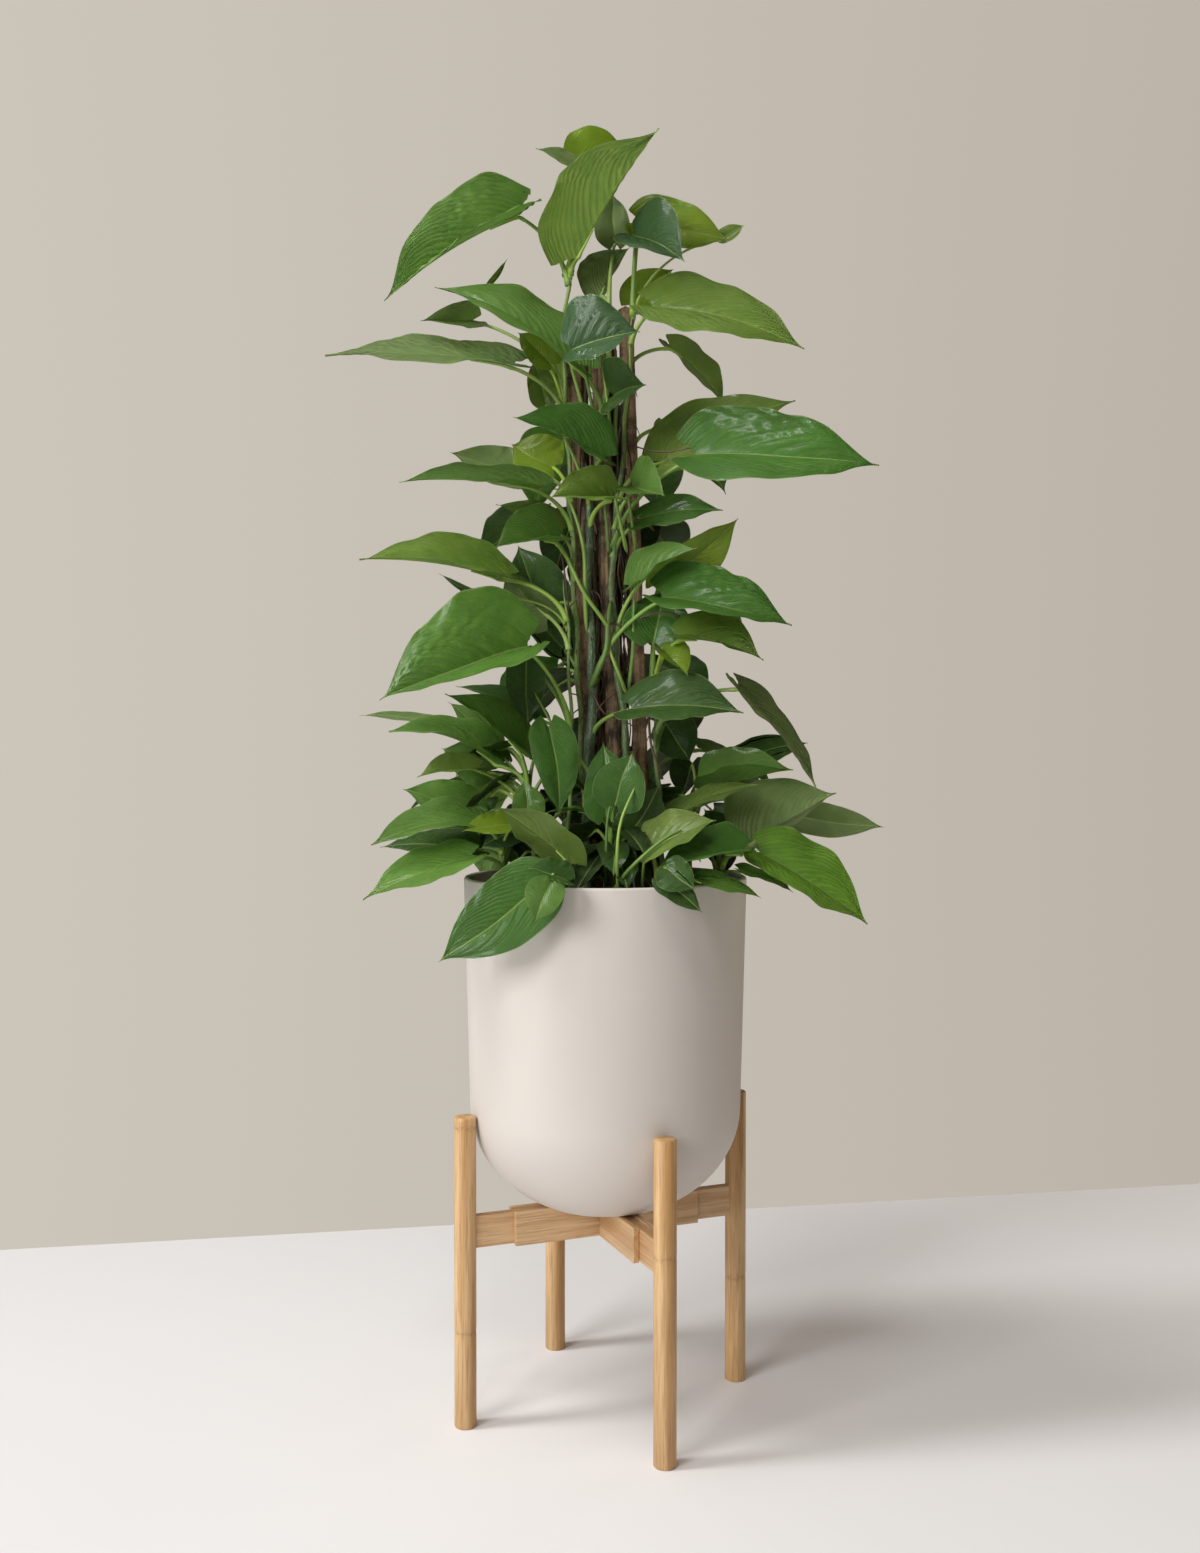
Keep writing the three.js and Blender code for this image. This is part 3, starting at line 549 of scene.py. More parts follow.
def finish_leaf(tone, node_height, base, tip, normal, width, fold, arch, lift, is_inner=False):
    """A leaf with its directions and its own green worked out."""
    along = (tip - base).normalized()
    screen_colour, roughness = TONES[tone]
    stray = 1 + TONE_SPREAD * (2 * tone_random.random() - 1)
    return SimpleNamespace(
        node_height=node_height, base=base, normal=normal, width=width, fold=fold, arch=arch,
        lift=lift, length=(tip - base).length, along=along, side=along.cross(normal).normalized(),
        colour=tint(screen_colour) * stray, roughness=roughness, is_inner=is_inner)


def seen(place):
    """A point seen at x and z on the plane through the axis, brought near mm toward the eye."""
    x, z, near = place
    return Vector((x, 0, z)).lerp(STEM_EYE, near / -STEM_EYE.y)


def leaf(tone, node_height, base, tip, width, face, fold=10, arch=0.05, lift=0.16):
    """face is where the upper side looks: 0 degrees toward the eye, 90 up, -90 down."""
    start = seen(base)
    end = seen(tip)
    along = (end - start).normalized()
    to_eye = STEM_EYE - start
    to_eye = (to_eye - along * to_eye.dot(along)).normalized()
    rising = to_eye.cross(along)
    if (rising.z if abs(rising.z) > LEVEL else rising.x) < 0:
        rising.negate()
    normal = to_eye * math.cos(math.radians(face)) + rising * math.sin(math.radians(face))
    return finish_leaf(tone, node_height, start, end, normal, width, fold, arch, lift)


print("tones:", ", ".join(TONES))

# %% Stem paths
SOIL_TOP = 556                   # mm
STEMS = {                        # radius, and the points of its path from the mix up
    "climber_left": (5.2, [(-19, -14, 556), (-29, -15, 800), (-38, -15, 1000), (-46, -14, 1150),
        (-44, -16, 1200), (-36, -16, 1245)]),
    "climber_front": (5.2, [(-20, -30, 556), (-16, -27, 738), (-13, -26, 800), (-18, -25, 890),
        (-16, -24, 980), (-4, -25, 1075), (3, -25, 1130), (4, -24, 1212)]),
    "climber_right": (5.2, [(36, -30, 556), (28, -27, 670), (20, -25, 752), (10, -25, 850),
        (8, -25, 931), (15, -25, 1000), (23, -20, 1090), (30, -18, 1200)]),
    "climber_left_low": (4.8, [(-42, -36, 556), (-38, -38, 700), (-38, -36, 800), (-44, -34, 905)]),
    "climber_right_low": (4.8, [(64, -20, 556), (57, -18, 700), (52, -14, 800), (50, -14, 872)]),
    "climber_back_left": (5, [(-14, 28, 556), (-18, 26, 800), (-24, 21, 1050), (-27, 19, 1180),
        (-20, 26, 1240)]),
    "climber_back_right": (5, [(46, 28, 556), (38, 27, 800), (27, 24, 1050), (24, 22, 1150),
        (34, 26, 1220)]),
    "bush_left_upper": (4.6, [(-72, -25, 556), (-78, -28, 630), (-84, -34, 690)]),
    "bush_left_lower": (4.6, [(-104, -34, 556), (-110, -38, 590), (-112, -42, 625)]),
    "bush_front_left": (4.4, [(-45, -100, 556), (-42, -102, 575), (-40, -100, 596)]),
    "bush_centre": (4.8, [(8, -66, 556), (6, -64, 600), (2, -60, 650)]),
    "bush_right_upper": (4.6, [(88, -14, 556), (96, -18, 630), (104, -22, 680)]),
    "bush_right_lower": (4.6, [(116, -34, 556), (122, -38, 580), (126, -42, 600)]),
    "bush_front_right": (4.4, [(56, -98, 556), (54, -98, 575), (54, -96, 596)]),
    "bush_back_left": (4.6, [(-80, 58, 556), (-86, 64, 610), (-90, 68, 660)]),
    "bush_back_middle": (4.6, [(4, 80, 556), (4, 83, 610), (2, 86, 660)]),
    "bush_back_right": (4.6, [(84, 52, 556), (90, 58, 610), (96, 62, 660)]),
}
print("stems:", len(STEMS))

# %% Leaves that the front shows
LEAVES = {                       # tone, height of its node, base, tip, width, face, fold, arch, lift
    "climber_left": [
        leaf("mid", 1225, (-92, 1308, 0), (-242, 1214, 25), 104, 50, 44, 0.04),
        leaf("fresh", 1240, (-32, 1259, 28), (58, 1401, 38), 120, 135, 45, 0.02),
        leaf("lime", 1236, (-36, 1358, -20), (31, 1371, -45), 70, 20, 10),
        leaf("pale", 1232, (-24, 1348, 0), (-76, 1379, 15), 35, 60, 20),
        leaf("pale", 1100, (-145, 1192, -8), (-202, 1192, 44), 50, 25, 50),
        leaf("olive", 1100, (-128, 1230, -12), (-107, 1259, -12), 8, 0, 30, 0),
        leaf("pale", 1080, (-103, 1144, 46), (-307, 1154, 50), 110, 75, 10, 0.03),
        leaf("lime", 1070, (-60, 1144, 20), (-96, 1179, 18), 50, 40, 20),
        leaf("olive", 1050, (-65, 1101, 4), (-79, 1149, -2), 34, 10, 10),
        leaf("lime", 990, (-57, 1032, -18), (-103, 1057, -26), 62, 10, 5),
        leaf("pale", 985, (-85, 1024, -46), (-170, 1048, -40), 52, 165, 25),
        leaf("mid", 960, (-73, 1009, 34), (-226, 1016, 58), 88, 77, 13, 0.04),
        leaf("olive", 930, (-52, 964, -4), (-120, 991, -6), 40, 50, 20),
        leaf("mid", 905, (-52, 951, 32), (-122, 944, 72), 76, 55, 35),
        leaf("dark", 870, (-65, 874, -30), (-96, 947, -26), 70, 0, 10),
        leaf("dark", 800, (-45, 832, 6), (-96, 878, -4), 40, 10, 10),
    ],
    "climber_front": [
        leaf("pale", 1200, (11, 1275, -46), (9, 1329, -56), 42, 0, 12),
        leaf("pale", 1195, (-7, 1217, -6), (27, 1272, -16), 72, 139, 41),
        leaf("teal", 1130, (-37, 1160, 96), (38, 1180, 114), 90, 43, 26),
        leaf("dark", 1080, (9, 1110, 42), (45, 1122, 86), 70, 30, 30),
        leaf("deep", 1010, (-2, 1041, 56), (-101, 1087, 78), 84, 55, 30),
        leaf("fresh", 960, (8, 997, 76), (-62, 999, 114), 70, 50, 38),
        leaf("deep", 790, (62, 890, 72), (205, 858, 100), 104, 56, 22),
        leaf("dark", 733, (29, 767, 60), (152, 763, 105), 92, 54, 18),
        leaf("mid", 1085, (-32, 1142, 62), (-187, 1228, 58), 100, 66, 17, 0.08),
    ],
    "climber_right": [
        leaf("teal", 1190, (32, 1284, -5), (87, 1256, 40), 80, 30, 35),
        leaf("lime", 1192, (36, 1300, -26), (136, 1279, -16), 60, 25, 10),
        leaf("olive", 1188, (126, 1280, -30), (152, 1295, -30), 18, 20, 10),
        leaf("fresh", 1160, (51, 1207, 28), (218, 1161, 50), 105, 58, 9, 0.055),
        leaf("mid", 960, (30, 1010, 36), (66, 1000, 86), 68, 35, 40),
        leaf("olive", 990, (62, 1037, 0), (208, 1105, 10), 95, 50, 10),
        leaf("deep", 940, (100, 1046, 48), (300, 1033, 78), 120, 47, 17, 0.05),
        leaf("deep", 930, (36, 975, 30), (129, 985, 66), 62, 60, 5),
        leaf("mid", 840, (32, 901, 42), (102, 944, 78), 66, 61, 31),
    ],
    "climber_left_low": [
        leaf("fresh", 860, (-114, 911, 32), (-270, 931, 64), 92, 70, 24, 0.04),
        leaf("dark", 850, (-129, 887, 44), (-183, 916, 40), 10, 0, 30, 0),
        leaf("pale", 830, (-63, 867, 34), (-110, 925, -4), 58, 200, 20),
        leaf("bright", 745, (-85, 836, 60), (-248, 777, 88), 136, 39, 39, 0.06),
        leaf("dark", 740, (-87, 819, 34), (-85, 750, 38), 44, 0, 10),
        leaf("dark", 720, (-74, 757, 6), (-164, 792, 2), 44, 60, 20),
    ],
    "climber_right_low": [
        leaf("lime", 862, (60, 904, 10), (146, 976, 34), 60, -25, 15),
        leaf("deep", 800, (53, 841, 40), (64, 898, 26), 74, 5, 10),
        leaf("fresh", 790, (80, 845, 68), (174, 821, 102), 74, 61, 28),
        leaf("lime", 780, (62, 832, 50), (91, 803, 82), 44, 45, 30),
        leaf("pale", 740, (146, 792, 40), (232, 681, 66), 70, 72, 6),
        leaf("dark", 720, (66, 752, 2), (94, 709, -2), 52, 10, 10),
    ],
    "bush_left_upper": [
        leaf("mid", 670, (-89, 716, 52), (-176, 784, 76), 80, 65, 25),
        leaf("mid", 680, (-118, 706, 32), (-238, 743, 58), 84, 72, 20, 0.1),
        leaf("mid", 685, (-121, 728, -20), (-173, 775, -26), 34, 40, 10),
        leaf("mid", 660, (-129, 698, 0), (-180, 724, 4), 50, 10, 10),
        leaf("pale", 665, (-173, 746, -4), (-271, 760, -4), 24, 60, 10),
        leaf("olive", 640, (-140, 702, 44), (-207, 692, 78), 44, 60, 25),
        leaf("mid", 640, (-85, 647, 64), (-90, 689, 58), 36, 0, 10),
    ],
    "bush_left_lower": [
        leaf("mid", 620, (-140, 650, 2), (-223, 679, 20), 60, 35, 10),
        leaf("mid", 615, (-140, 645, 52), (-258, 618, 94), 72, 62, 14),
        leaf("lime", 610, (-100, 640, 66), (-158, 632, 92), 38, 50, 10),
        leaf("teal", 600, (-96, 634, 40), (-136, 616, 44), 34, 20, 10),
        leaf("dark", 600, (-140, 612, 14), (-248, 615, 30), 56, 60, 8),
        leaf("mid", 590, (-148, 604, 76), (-267, 557, 112), 76, 61, 8),
    ],
    "bush_front_left": [
        leaf("deep", 582, (-66, 577, 152), (-184, 488, 162), 74, 10, 5, 0.04, 0.2),
        leaf("mid", 586, (-60, 576, 188), (-77, 533, 192), 38, 0, 10, 0.04, 0.25),
        leaf("dark", 590, (-40, 577, 168), (-85, 592, 176), 42, 55, 20, 0.05, 0.2),
        leaf("olive", 592, (-37, 596, 108), (-120, 660, 112), 76, 125, 8),
    ],
    "bush_centre": [
        leaf("mid", 640, (-19, 654, 62), (-68, 652, 66), 30, 85, 10),
        leaf("deep", 645, (-62, 748, 76), (-50, 650, 90), 52, 20, 10),
        leaf("deep", 600, (1, 650, 74), (-2, 731, 62), 52, 0, 10),
        leaf("deep", 610, (11, 662, 98), (30, 720, 100), 56, 0, 10),
        leaf("dark", 590, (23, 625, 83), (60, 685, 82), 52, -20, 10),
    ],
    "bush_right_upper": [
        leaf("olive", 640, (70, 650, 59), (168, 684, 80), 56, 70, 10),
        leaf("dark", 620, (144, 614, 24), (108, 658, 18), 40, 0, 10),
        leaf("mid", 660, (116, 678, 32), (207, 700, 72), 84, 57, 57),
        leaf("dark", 670, (141, 706, 24), (223, 730, 26), 44, 40, 10),
    ],
    "bush_right_lower": [
        leaf("sunny", 598, (170, 609, 74), (289, 530, 98), 100, 50, 22),
        leaf("pale", 595, (158, 618, 50), (254, 675, 40), 104, 140, 40),
        leaf("mid", 585, (148, 590, 50), (207, 565, 62), 34, 70, 10),
    ],
    "bush_front_right": [
        leaf("olive", 590, (47, 611, 102), (122, 645, 120), 70, 50, 22),
        leaf("deep", 588, (152, 609, 104), (56, 591, 136), 66, 58, 30),
        leaf("dark", 586, (67, 592, 148), (99, 568, 158), 40, 20, 10),
        leaf("dark", 584, (60, 579, 152), (107, 543, 156), 28, 20, 10, 0.04, 0.3),
        leaf("mid", 584, (104, 579, 126), (172, 559, 118), 34, 60, 10),
    ],
    "climber_back_right": [
        leaf("lime", 1200, (28, 1208, -38), (75, 1248, -44), 44, 20, 10),
    ],
    "bush_back_right": [
        leaf("pale", 640, (207, 650, -20), (307, 637, -14), 40, 170, 10),
    ],
}
print("leaves in front:", sum(len(leaves) for leaves in LEAVES.values()))

# %% [markdown]
# ## Leaves on the back
#
# The picture doesn't show the back. A climbing pothos there turns its leaves outward to the light,
# so a rule spreads them in a fan round each back stem. The random draws are the frame's own, so each
# blade lies where its solid is.

# %% Leaves on the back
ROOTING = SimpleNamespace(depth=45, upright=4)    # mm, below and above the mix
STEM_STEPS = 400                 # fine enough to find the place of a node
UP = Vector((0, 0, 1))
FAN = SimpleNamespace(
    turn=0.618, stray=12,        # share of the fan from one leaf to the next, and degrees
    droop=18, droop_spread=32,   # degrees
    length=84, length_spread=40, width_share=0.7, rise=26, rise_spread=26,    # mm
    near=0.8, near_spread=0.5,   # shares of the reach
    fold=14, arch=0.07, lift=0.16)
FAN_TONES = ("mid", "deep", "fresh", "dark", "mid", "olive")
BACK_LEAVES = [                  # stem, angles, count, lowest and highest node, reach, seed
    ("climber_back_left", 95, 150, 6, 700, 1130, 60, 11),
    ("climber_back_right", 15, 85, 6, 680, 1140, 60, 23),
    ("bush_back_left", 118, 178, 4, 590, 655, 52, 3),
    ("bush_back_middle", 60, 130, 4, 590, 650, 36, 8),
    ("bush_back_right", 4, 68, 4, 590, 655, 52, 17),
]


def stem_centres(stem, steps):
    """Places along a stem, which starts upright in its hole."""
    path = [Vector(point) for point in STEMS[stem][1]]
    start = [path[0] - UP * ROOTING.depth, path[0] + UP * ROOTING.upright]
    return through(start + path[1:], steps)


def stem_place(stem, height):
    """The place on a stem at this height."""
    centres = stem_centres(stem, STEM_STEPS)
    above = next((row for row, centre in enumerate(centres) if centre.z >= height), len(centres) - 1)
    low, high = centres[above - 1], centres[above]
    return low.lerp(high, min(1.0, (height - low.z) / (high.z - low.z)))


def seeded(state):
    """The same draws from 0 to 1 on every run: the frame's linear congruential generator."""
    while True:
        state = (state * 1664525 + 1013904223) % 2 ** 32
        yield state / 2 ** 32


def fan(stem, from_angle, to_angle, count, lowest, highest, reach, seed, scale=1.0, tones=FAN_TONES,
        is_inner=False):
    """Leaves that droop outward from a stem, between two angles from +X."""
    draw = seeded(seed)
    for i in range(count):
        node_height = lowest + (highest - lowest) * i / (count - 1)
        azimuth = math.radians(from_angle + (to_angle - from_angle) * (i * FAN.turn % 1)
                               + FAN.stray * (next(draw) - 0.5))
        outward = Vector((math.cos(azimuth), math.sin(azimuth), 0))
        droop = math.radians(FAN.droop + FAN.droop_spread * next(draw))
        length = scale * (FAN.length + FAN.length_spread * next(draw))
        away = outward * reach * (FAN.near + FAN.near_spread * next(draw))
        base = stem_place(stem, node_height) + away + UP * (FAN.rise + FAN.rise_spread * next(draw))
        tip = base + length * (outward * math.cos(droop) - UP * math.sin(droop))
        normal = outward * math.sin(droop) + UP * math.cos(droop)
        LEAVES.setdefault(stem, []).append(finish_leaf(
            tones[i % len(tones)], node_height, base, tip, normal, FAN.width_share * length,
            FAN.fold, FAN.arch, FAN.lift, is_inner))


for row in BACK_LEAVES:
    fan(*row)
print("leaves that the frame has too:", sum(len(leaves) for leaves in LEAVES.values()))

# %% [markdown]
# ## Inner leaves
#
# Between the large leaves a real plant is full of small, shaded ones. The frame leaves them out,
# because they don't change the plant's outline. They close the view through the plant: behind the
# stakes, and over the mouth of the planter.

# %% Inner leaves
# the inner leaves mostly take the "shaded" green: painted shade inside the plant
INNER_TONES = ("shaded", "dark", "shaded")
INNER_LEAVES = [                 # stem, angles, count, lowest and highest node, reach, seed, scale
    ("climber_back_left", 70, 130, 8, 600, 1010, 34, 31, 1.0),
    ("climber_back_right", 50, 110, 8, 620, 1000, 34, 37, 1.0),
    ("bush_centre", 30, 150, 6, 572, 640, 18, 41, 0.6),
    ("bush_centre", 190, 350, 7, 564, 590, 16, 73, 0.5),
    ("bush_left_upper", 0, 100, 6, 575, 660, 24, 43, 0.65),
    ("bush_left_lower", 20, 100, 4, 570, 610, 22, 47, 0.6),
    ("bush_right_upper", 90, 190, 6, 575, 660, 24, 53, 0.65),
    ("bush_right_lower", 80, 160, 4, 570, 592, 22, 59, 0.6),
    ("bush_back_left", -60, 40, 5, 575, 640, 26, 61, 0.7),
    ("bush_back_middle", 200, 340, 7, 575, 645, 26, 67, 0.75),
    ("bush_back_right", 130, 240, 5, 575, 640, 26, 71, 0.7),
    ("bush_left_upper", 60, 200, 7, 600, 690, 20, 79, 0.7),
]
PHASE_STEP = 2.4                 # radians from one leaf's ripples and waves to the next leaf's

for row in INNER_LEAVES:
    fan(*row, tones=INNER_TONES, is_inner=True)
for stem, leaves in LEAVES.items():
    for index, one in enumerate(leaves):
        one.phase = PHASE_STEP * index + len(stem)
print("leaves in all:", sum(len(leaves) for leaves in LEAVES.values()))

# %% [markdown]
# ## Blades, stalks and vines
#
# Every stem becomes three pieces: its blades, its leaf stalks and the vine itself. Together they
# stand for the frame's one solid. A stalk leaves its node inside a short sheath, so it is thick
# there. It thins, swells a little just below the blade, and runs on under the blade as the midrib.

# %% Blades
def empty_mesh():
    """An empty bmesh with the attributes that the materials read."""
    bm = bmesh.new()
    bm.verts.layers.float_color.new("tone")
    bm.verts.layers.float_vector.new("blade")
    bm.verts.layers.float_vector.new("run")
    return bm


for stem, leaves in LEAVES.items():
    bm = empty_mesh()
    for one in leaves:
        add_blade(bm, one)
    make_piece(f"{stem}_blades", bm, [leaf_upper, leaf_under], stands_for=[stem])

# %% Leaf stalks
STALK = SimpleNamespace(
    radius=2.0, sides=8, steps=24, sheath=1.9, swelling=0.5,           # mm
    sheath_length=0.22, swells_at=0.94, swelling_length=0.04,          # shares of its length
    rise_at=0.12, upright=0.32, fall_at=0.68, meets_blade=0.02,
    under_blade=((0.06, 0.85), (0.13, 0.63), (0.22, 0.41)),            # place along it, and radius
    sunk=0.6, least=0.45, full_width=110, own_green=0.35, age=0.1)
STALK_FOOT = tint("#86A24C")
STALK_HEAD = tint("#9AB855")


def stalk_path(stem, leaf):
    """Centres and radii of a leaf stalk, from the middle of its stem to under its blade."""
    start = stem_place(stem, leaf.node_height)
    end = blade_point(leaf, STALK.meets_blade, 0) - leaf.normal * STALK.radius
    reach = (end - start).length
    rising = start.lerp(end, STALK.rise_at) + UP * STALK.upright * reach
    falling = start.lerp(end, STALK.fall_at) + UP * leaf.lift * reach
    centres = []
    radii = []
    for step in range(STALK.steps + 1):
        t = step / STALK.steps
        centres.append(start * (1 - t) ** 3 + 3 * rising * t * (1 - t) ** 2
                       + 3 * falling * t ** 2 * (1 - t) + end * t ** 3)
        swelling = math.exp(-((t - STALK.swells_at) / STALK.swelling_length) ** 2)
        radii.append(STALK.radius + STALK.sheath * math.exp(-t / STALK.sheath_length)
                     + STALK.swelling * swelling)
    for u, share in STALK.under_blade:
        radius = STALK.radius * share
        centres.append(blade_point(leaf, u, 0) - leaf.normal * (STALK.sunk * radius))
        radii.append(radius)
    size = min(1.0, STALK.least + leaf.width / STALK.full_width)
    return centres, [radius * size for radius in radii]


for stem, leaves in LEAVES.items():
    bm = empty_mesh()
    for one in leaves:
        centres, radii = stalk_path(stem, one)
        colours = [STALK_FOOT.lerp(STALK_HEAD, row / len(centres)).lerp(one.colour, STALK.own_green)
                   for row in range(len(centres))]
        add_tube(bm, centres, radii, STALK.sides, colours, STALK.age)
    make_piece(f"{stem}_stalks", bm, [stem_skin], stands_for=[stem])

# %% [markdown]
# ## Stalks in front of the trunk
#
# In front of the stakes a real plant is a tangle of bare stalks and young shoots that cross each
# other. No rule gives that look, so their routes are a short list, given as the leaves' places are.
# Both ends taper, so a shoot vanishes behind a leaf or against a vine.

# %% Stalks in front of the trunk
FRONT_STALKS = [                 # radius, and places as across, up and toward the eye
    (2.2, [(-20, 850, 26), (-22, 887, 38), (-23, 936, 42), (-30, 970, 40), (-40, 997, 34)]),
    (1.7, [(4, 938, 26), (3, 952, 36), (1, 975, 44), (-2, 1000, 48)]),
    (1.9, [(24, 938, 20), (20, 955, 38), (15, 978, 48), (10, 1002, 54)]),
    (2.1, [(34, 925, 10), (33, 945, 34), (29, 975, 50), (23, 1012, 56)]),
    (2.2, [(4, 852, 26), (0, 862, 40), (-24, 896, 46), (-44, 938, 38), (-56, 956, 28)]),
    (3.0, [(-19, 784, 24), (-10, 805, 38), (1, 832, 42), (3, 862, 38), (6, 886, 30)]),
    (1.8, [(24, 782, 22), (16, 803, 38), (7, 826, 40), (2, 846, 32)]),
    (2.0, [(25, 784, 22), (30, 826, 38), (31, 862, 44), (32, 890, 44)]),
    (2.2, [(-20, 1062, 24), (-24, 1094, 36), (-34, 1131, 42), (-42, 1160, 44)]),
    (1.9, [(-12, 1064, 24), (-13, 1090, 38), (-21, 1130, 46), (-27, 1158, 50)]),
    (1.7, [(2, 1052, 26), (5, 1078, 38), (1, 1113, 40), (-3, 1142, 38)]),
    (2.1, [(12, 1050, 24), (11, 1080, 36), (14, 1118, 38), (20, 1150, 34)]),
    (2.1, [(-16, 986, 26), (-24, 1016, 40), (-34, 1042, 44), (-46, 1068, 36)]),
    (1.6, [(0, 562, 70), (1, 600, 96), (2, 640, 100), (6, 664, 98)]),
    (1.7, [(15, 560, 96), (13, 601, 124), (17, 642, 124), (33, 682, 104)]),
    (1.9, [(4, 560, 80), (28, 592, 122), (62, 622, 124), (84, 634, 116)]),
    (1.6, [(40, 560, 84), (42, 590, 108), (45, 618, 112)]),
    (1.8, [(-66, 700, 34), (-92, 726, 44), (-112, 752, 46), (-126, 766, 40)]),
    (1.6, [(-34, 700, 34), (-52, 738, 44), (-78, 786, 42)]),
]
FRONT_STALK_GREENS = ("#7C9A45", "#5E7E38", "#8FAE50", "#6C8C3E")
SHOOT = SimpleNamespace(foot=1.2, thinning=0.45, starts=(-0.04, 0.12), ends=(0.9, 1.06), age=0.2)


def shoot_radius(radius, t):
    """The radius of a front stalk this far along it, with both its ends tapered."""
    taper = smooth_step(*SHOOT.starts, t) * (1 - smooth_step(*SHOOT.ends, t))
    return radius * (SHOOT.foot - SHOOT.thinning * t) * taper


bm = empty_mesh()
for index, (radius, places) in enumerate(FRONT_STALKS):
    centres = through([seen(place) for place in places], STALK.steps)
    radii = [shoot_radius(radius, row / STALK.steps) for row in range(len(centres))]
    green = tint(FRONT_STALK_GREENS[index % len(FRONT_STALK_GREENS)])
    add_tube(bm, centres, radii, STALK.sides, [green] * len(centres), SHOOT.age)
make_piece("front_stalks", bm, [stem_skin])

# %% [markdown]
# ## Vines
#
# A vine is a ribbed tube that swells at each node, with a narrow ring where an old leaf has dropped.
# The long vines are dark and corky below and turn green toward their tips. Those of the low stems
# are young and stay green.

# %% Vines
VINE = SimpleNamespace(
    sides=20, ribs=7, rib_height=0.07, taper=0.48, node_swelling=0.2, scar=0.12,
    ring_step=4, least_rings=30, node_length=5.0, internode=46, scar_length=2.2, zigzag=1.4,    # mm
    rolled_tip=(0.9, 1.0), tip_thinning=0.8,
    greening=(960, 1140), bush_greening=(0.1, 1.0))       # mm above the floor, share of its length
VINE_OLD = tint("#3E5238")
VINE_YOUNG = tint("#86A24C")
VINE_STYLE = {                   # share of the stem's radius, and how green it is at least
    "climber_left": (0.66, 0.55), "climber_front": (1.12, 0.0), "climber_right": (0.85, 0.2),
    "climber_left_low": (0.6, 0.6), "climber_right_low": (0.7, 0.45),
    "climber_back_left": (1, 0), "climber_back_right": (1, 0),
}
BUSH_STYLE = (0.72, 0.2)


def vine(stem):
    """The stem itself, with its ribs, nodes, leaf scars and slight zigzag."""
    is_climber = stem in VINE_STYLE
    size, least_youth = VINE_STYLE.get(stem, BUSH_STYLE)
    radius, path = STEMS[stem]
    height = path[-1][2] - path[0][2]
    centres = stem_centres(stem, max(VINE.least_rings, int(height / VINE.ring_step)))
    radii = []
    colours = []
    for row, centre in enumerate(centres):
        t = row / (len(centres) - 1)
        nodes = sum(math.exp(-((centre.z - one.node_height) / VINE.node_length) ** 2)
                    for one in LEAVES[stem])
        past_scar = centre.z % VINE.internode - VINE.internode / 2
        scar = VINE.scar * math.exp(-(past_scar / VINE.scar_length) ** 2)
        swelling = 1 + scar + VINE.node_swelling * min(1.0, nodes)
        tip = 1 - VINE.tip_thinning * smooth_step(*VINE.rolled_tip, t)
        radii.append(radius * size * (1 - VINE.taper * smooth_step(0.0, 1.0, t)) * swelling * tip)
        centre.x += VINE.zigzag * math.sin(math.pi * centre.z / VINE.internode)
        youth = (smooth_step(*VINE.greening, centre.z) if is_climber
                 else smooth_step(*VINE.bush_greening, t))
        colours.append(VINE_OLD.lerp(VINE_YOUNG, max(youth, least_youth)))
    bm = empty_mesh()
    add_tube(bm, centres, radii, VINE.sides, colours, 1.0, VINE.ribs, VINE.rib_height)
    make_piece(f"{stem}_vine", bm, [stem_skin], stands_for=[stem])


for stem in STEMS:
    vine(stem)

# %% [markdown]
# ## Aerial roots
#
# A pothos holds on to its support with thin brown roots that grow from the nodes of its vines. Most
# are short pegs. A few have grown long and hang in the air from one vine to the next. Each is a thin
# tube through a few points, given as the leaves' places are.

# %% Aerial roots
ROOT_BROWN = tint("#5A4032")
ROOT = SimpleNamespace(sides=6, rows=6, age=0.2)          # rows for each point of its route
LONG_ROOTS = [                   # radius, and places as across, up and toward the eye
    (0.8, [(26, 1057, 10), (50, 1050, 24), (70, 1049, 36), (98, 1054, 44)]),
    (1.0, [(6, 861, 30), (23, 860, 34), (36, 866, 40), (54, 872, 46), (68, 873, 50), (82, 869, 50)]),
    (1.1, [(-19, 787, 30), (-12, 781, 34), (-6, 769, 38), (3, 760, 36), (20, 759, 24)]),
    (0.8, [(-10, 764, 38), (-1, 775, 36), (13, 786, 22)]),
    (1.4, [(48, 762, 24), (49, 740, 26), (52, 722, 30), (58, 706, 34), (63, 690, 30)]),
    (1.0, [(-50, 950, 20), (-46, 926, 26), (-42, 896, 28), (-40, 870, 24), (-42, 845, 18)]),
    (0.8, [(-39, 879, 26), (-31, 889, 32), (-21, 903, 28)]),
    (0.7, [(19, 716, 22), (29, 720, 28), (38, 725, 24)]),
]
PEG = SimpleNamespace(
    radius=0.9, length=13, spread=10, spacing=31, above_mix=10, below_tip=20,    # mm
    droop=0.5, bend_at=0.7, thinning=0.09, sides=5, rows=6)
peg_random = random.Random(8)


def add_peg(bm, stem, height):
    """A short root that leaves a stem at this height in a random direction and bends down."""
    start = stem_place(stem, height)
    angle = math.tau * peg_random.random()
    outward = Vector((math.cos(angle), math.sin(angle), -PEG.droop * peg_random.random()))
    length = STEMS[stem][0] + PEG.length * peg_random.random()
    end = start + outward * length - UP * PEG.spread * peg_random.random()
    centres = through([start, start + outward * (PEG.bend_at * length), end], PEG.rows)
    radii = [PEG.radius * (1 - PEG.thinning * row) for row in range(len(centres))]
    add_tube(bm, centres, radii, PEG.sides, [ROOT_BROWN] * len(centres), ROOT.age)


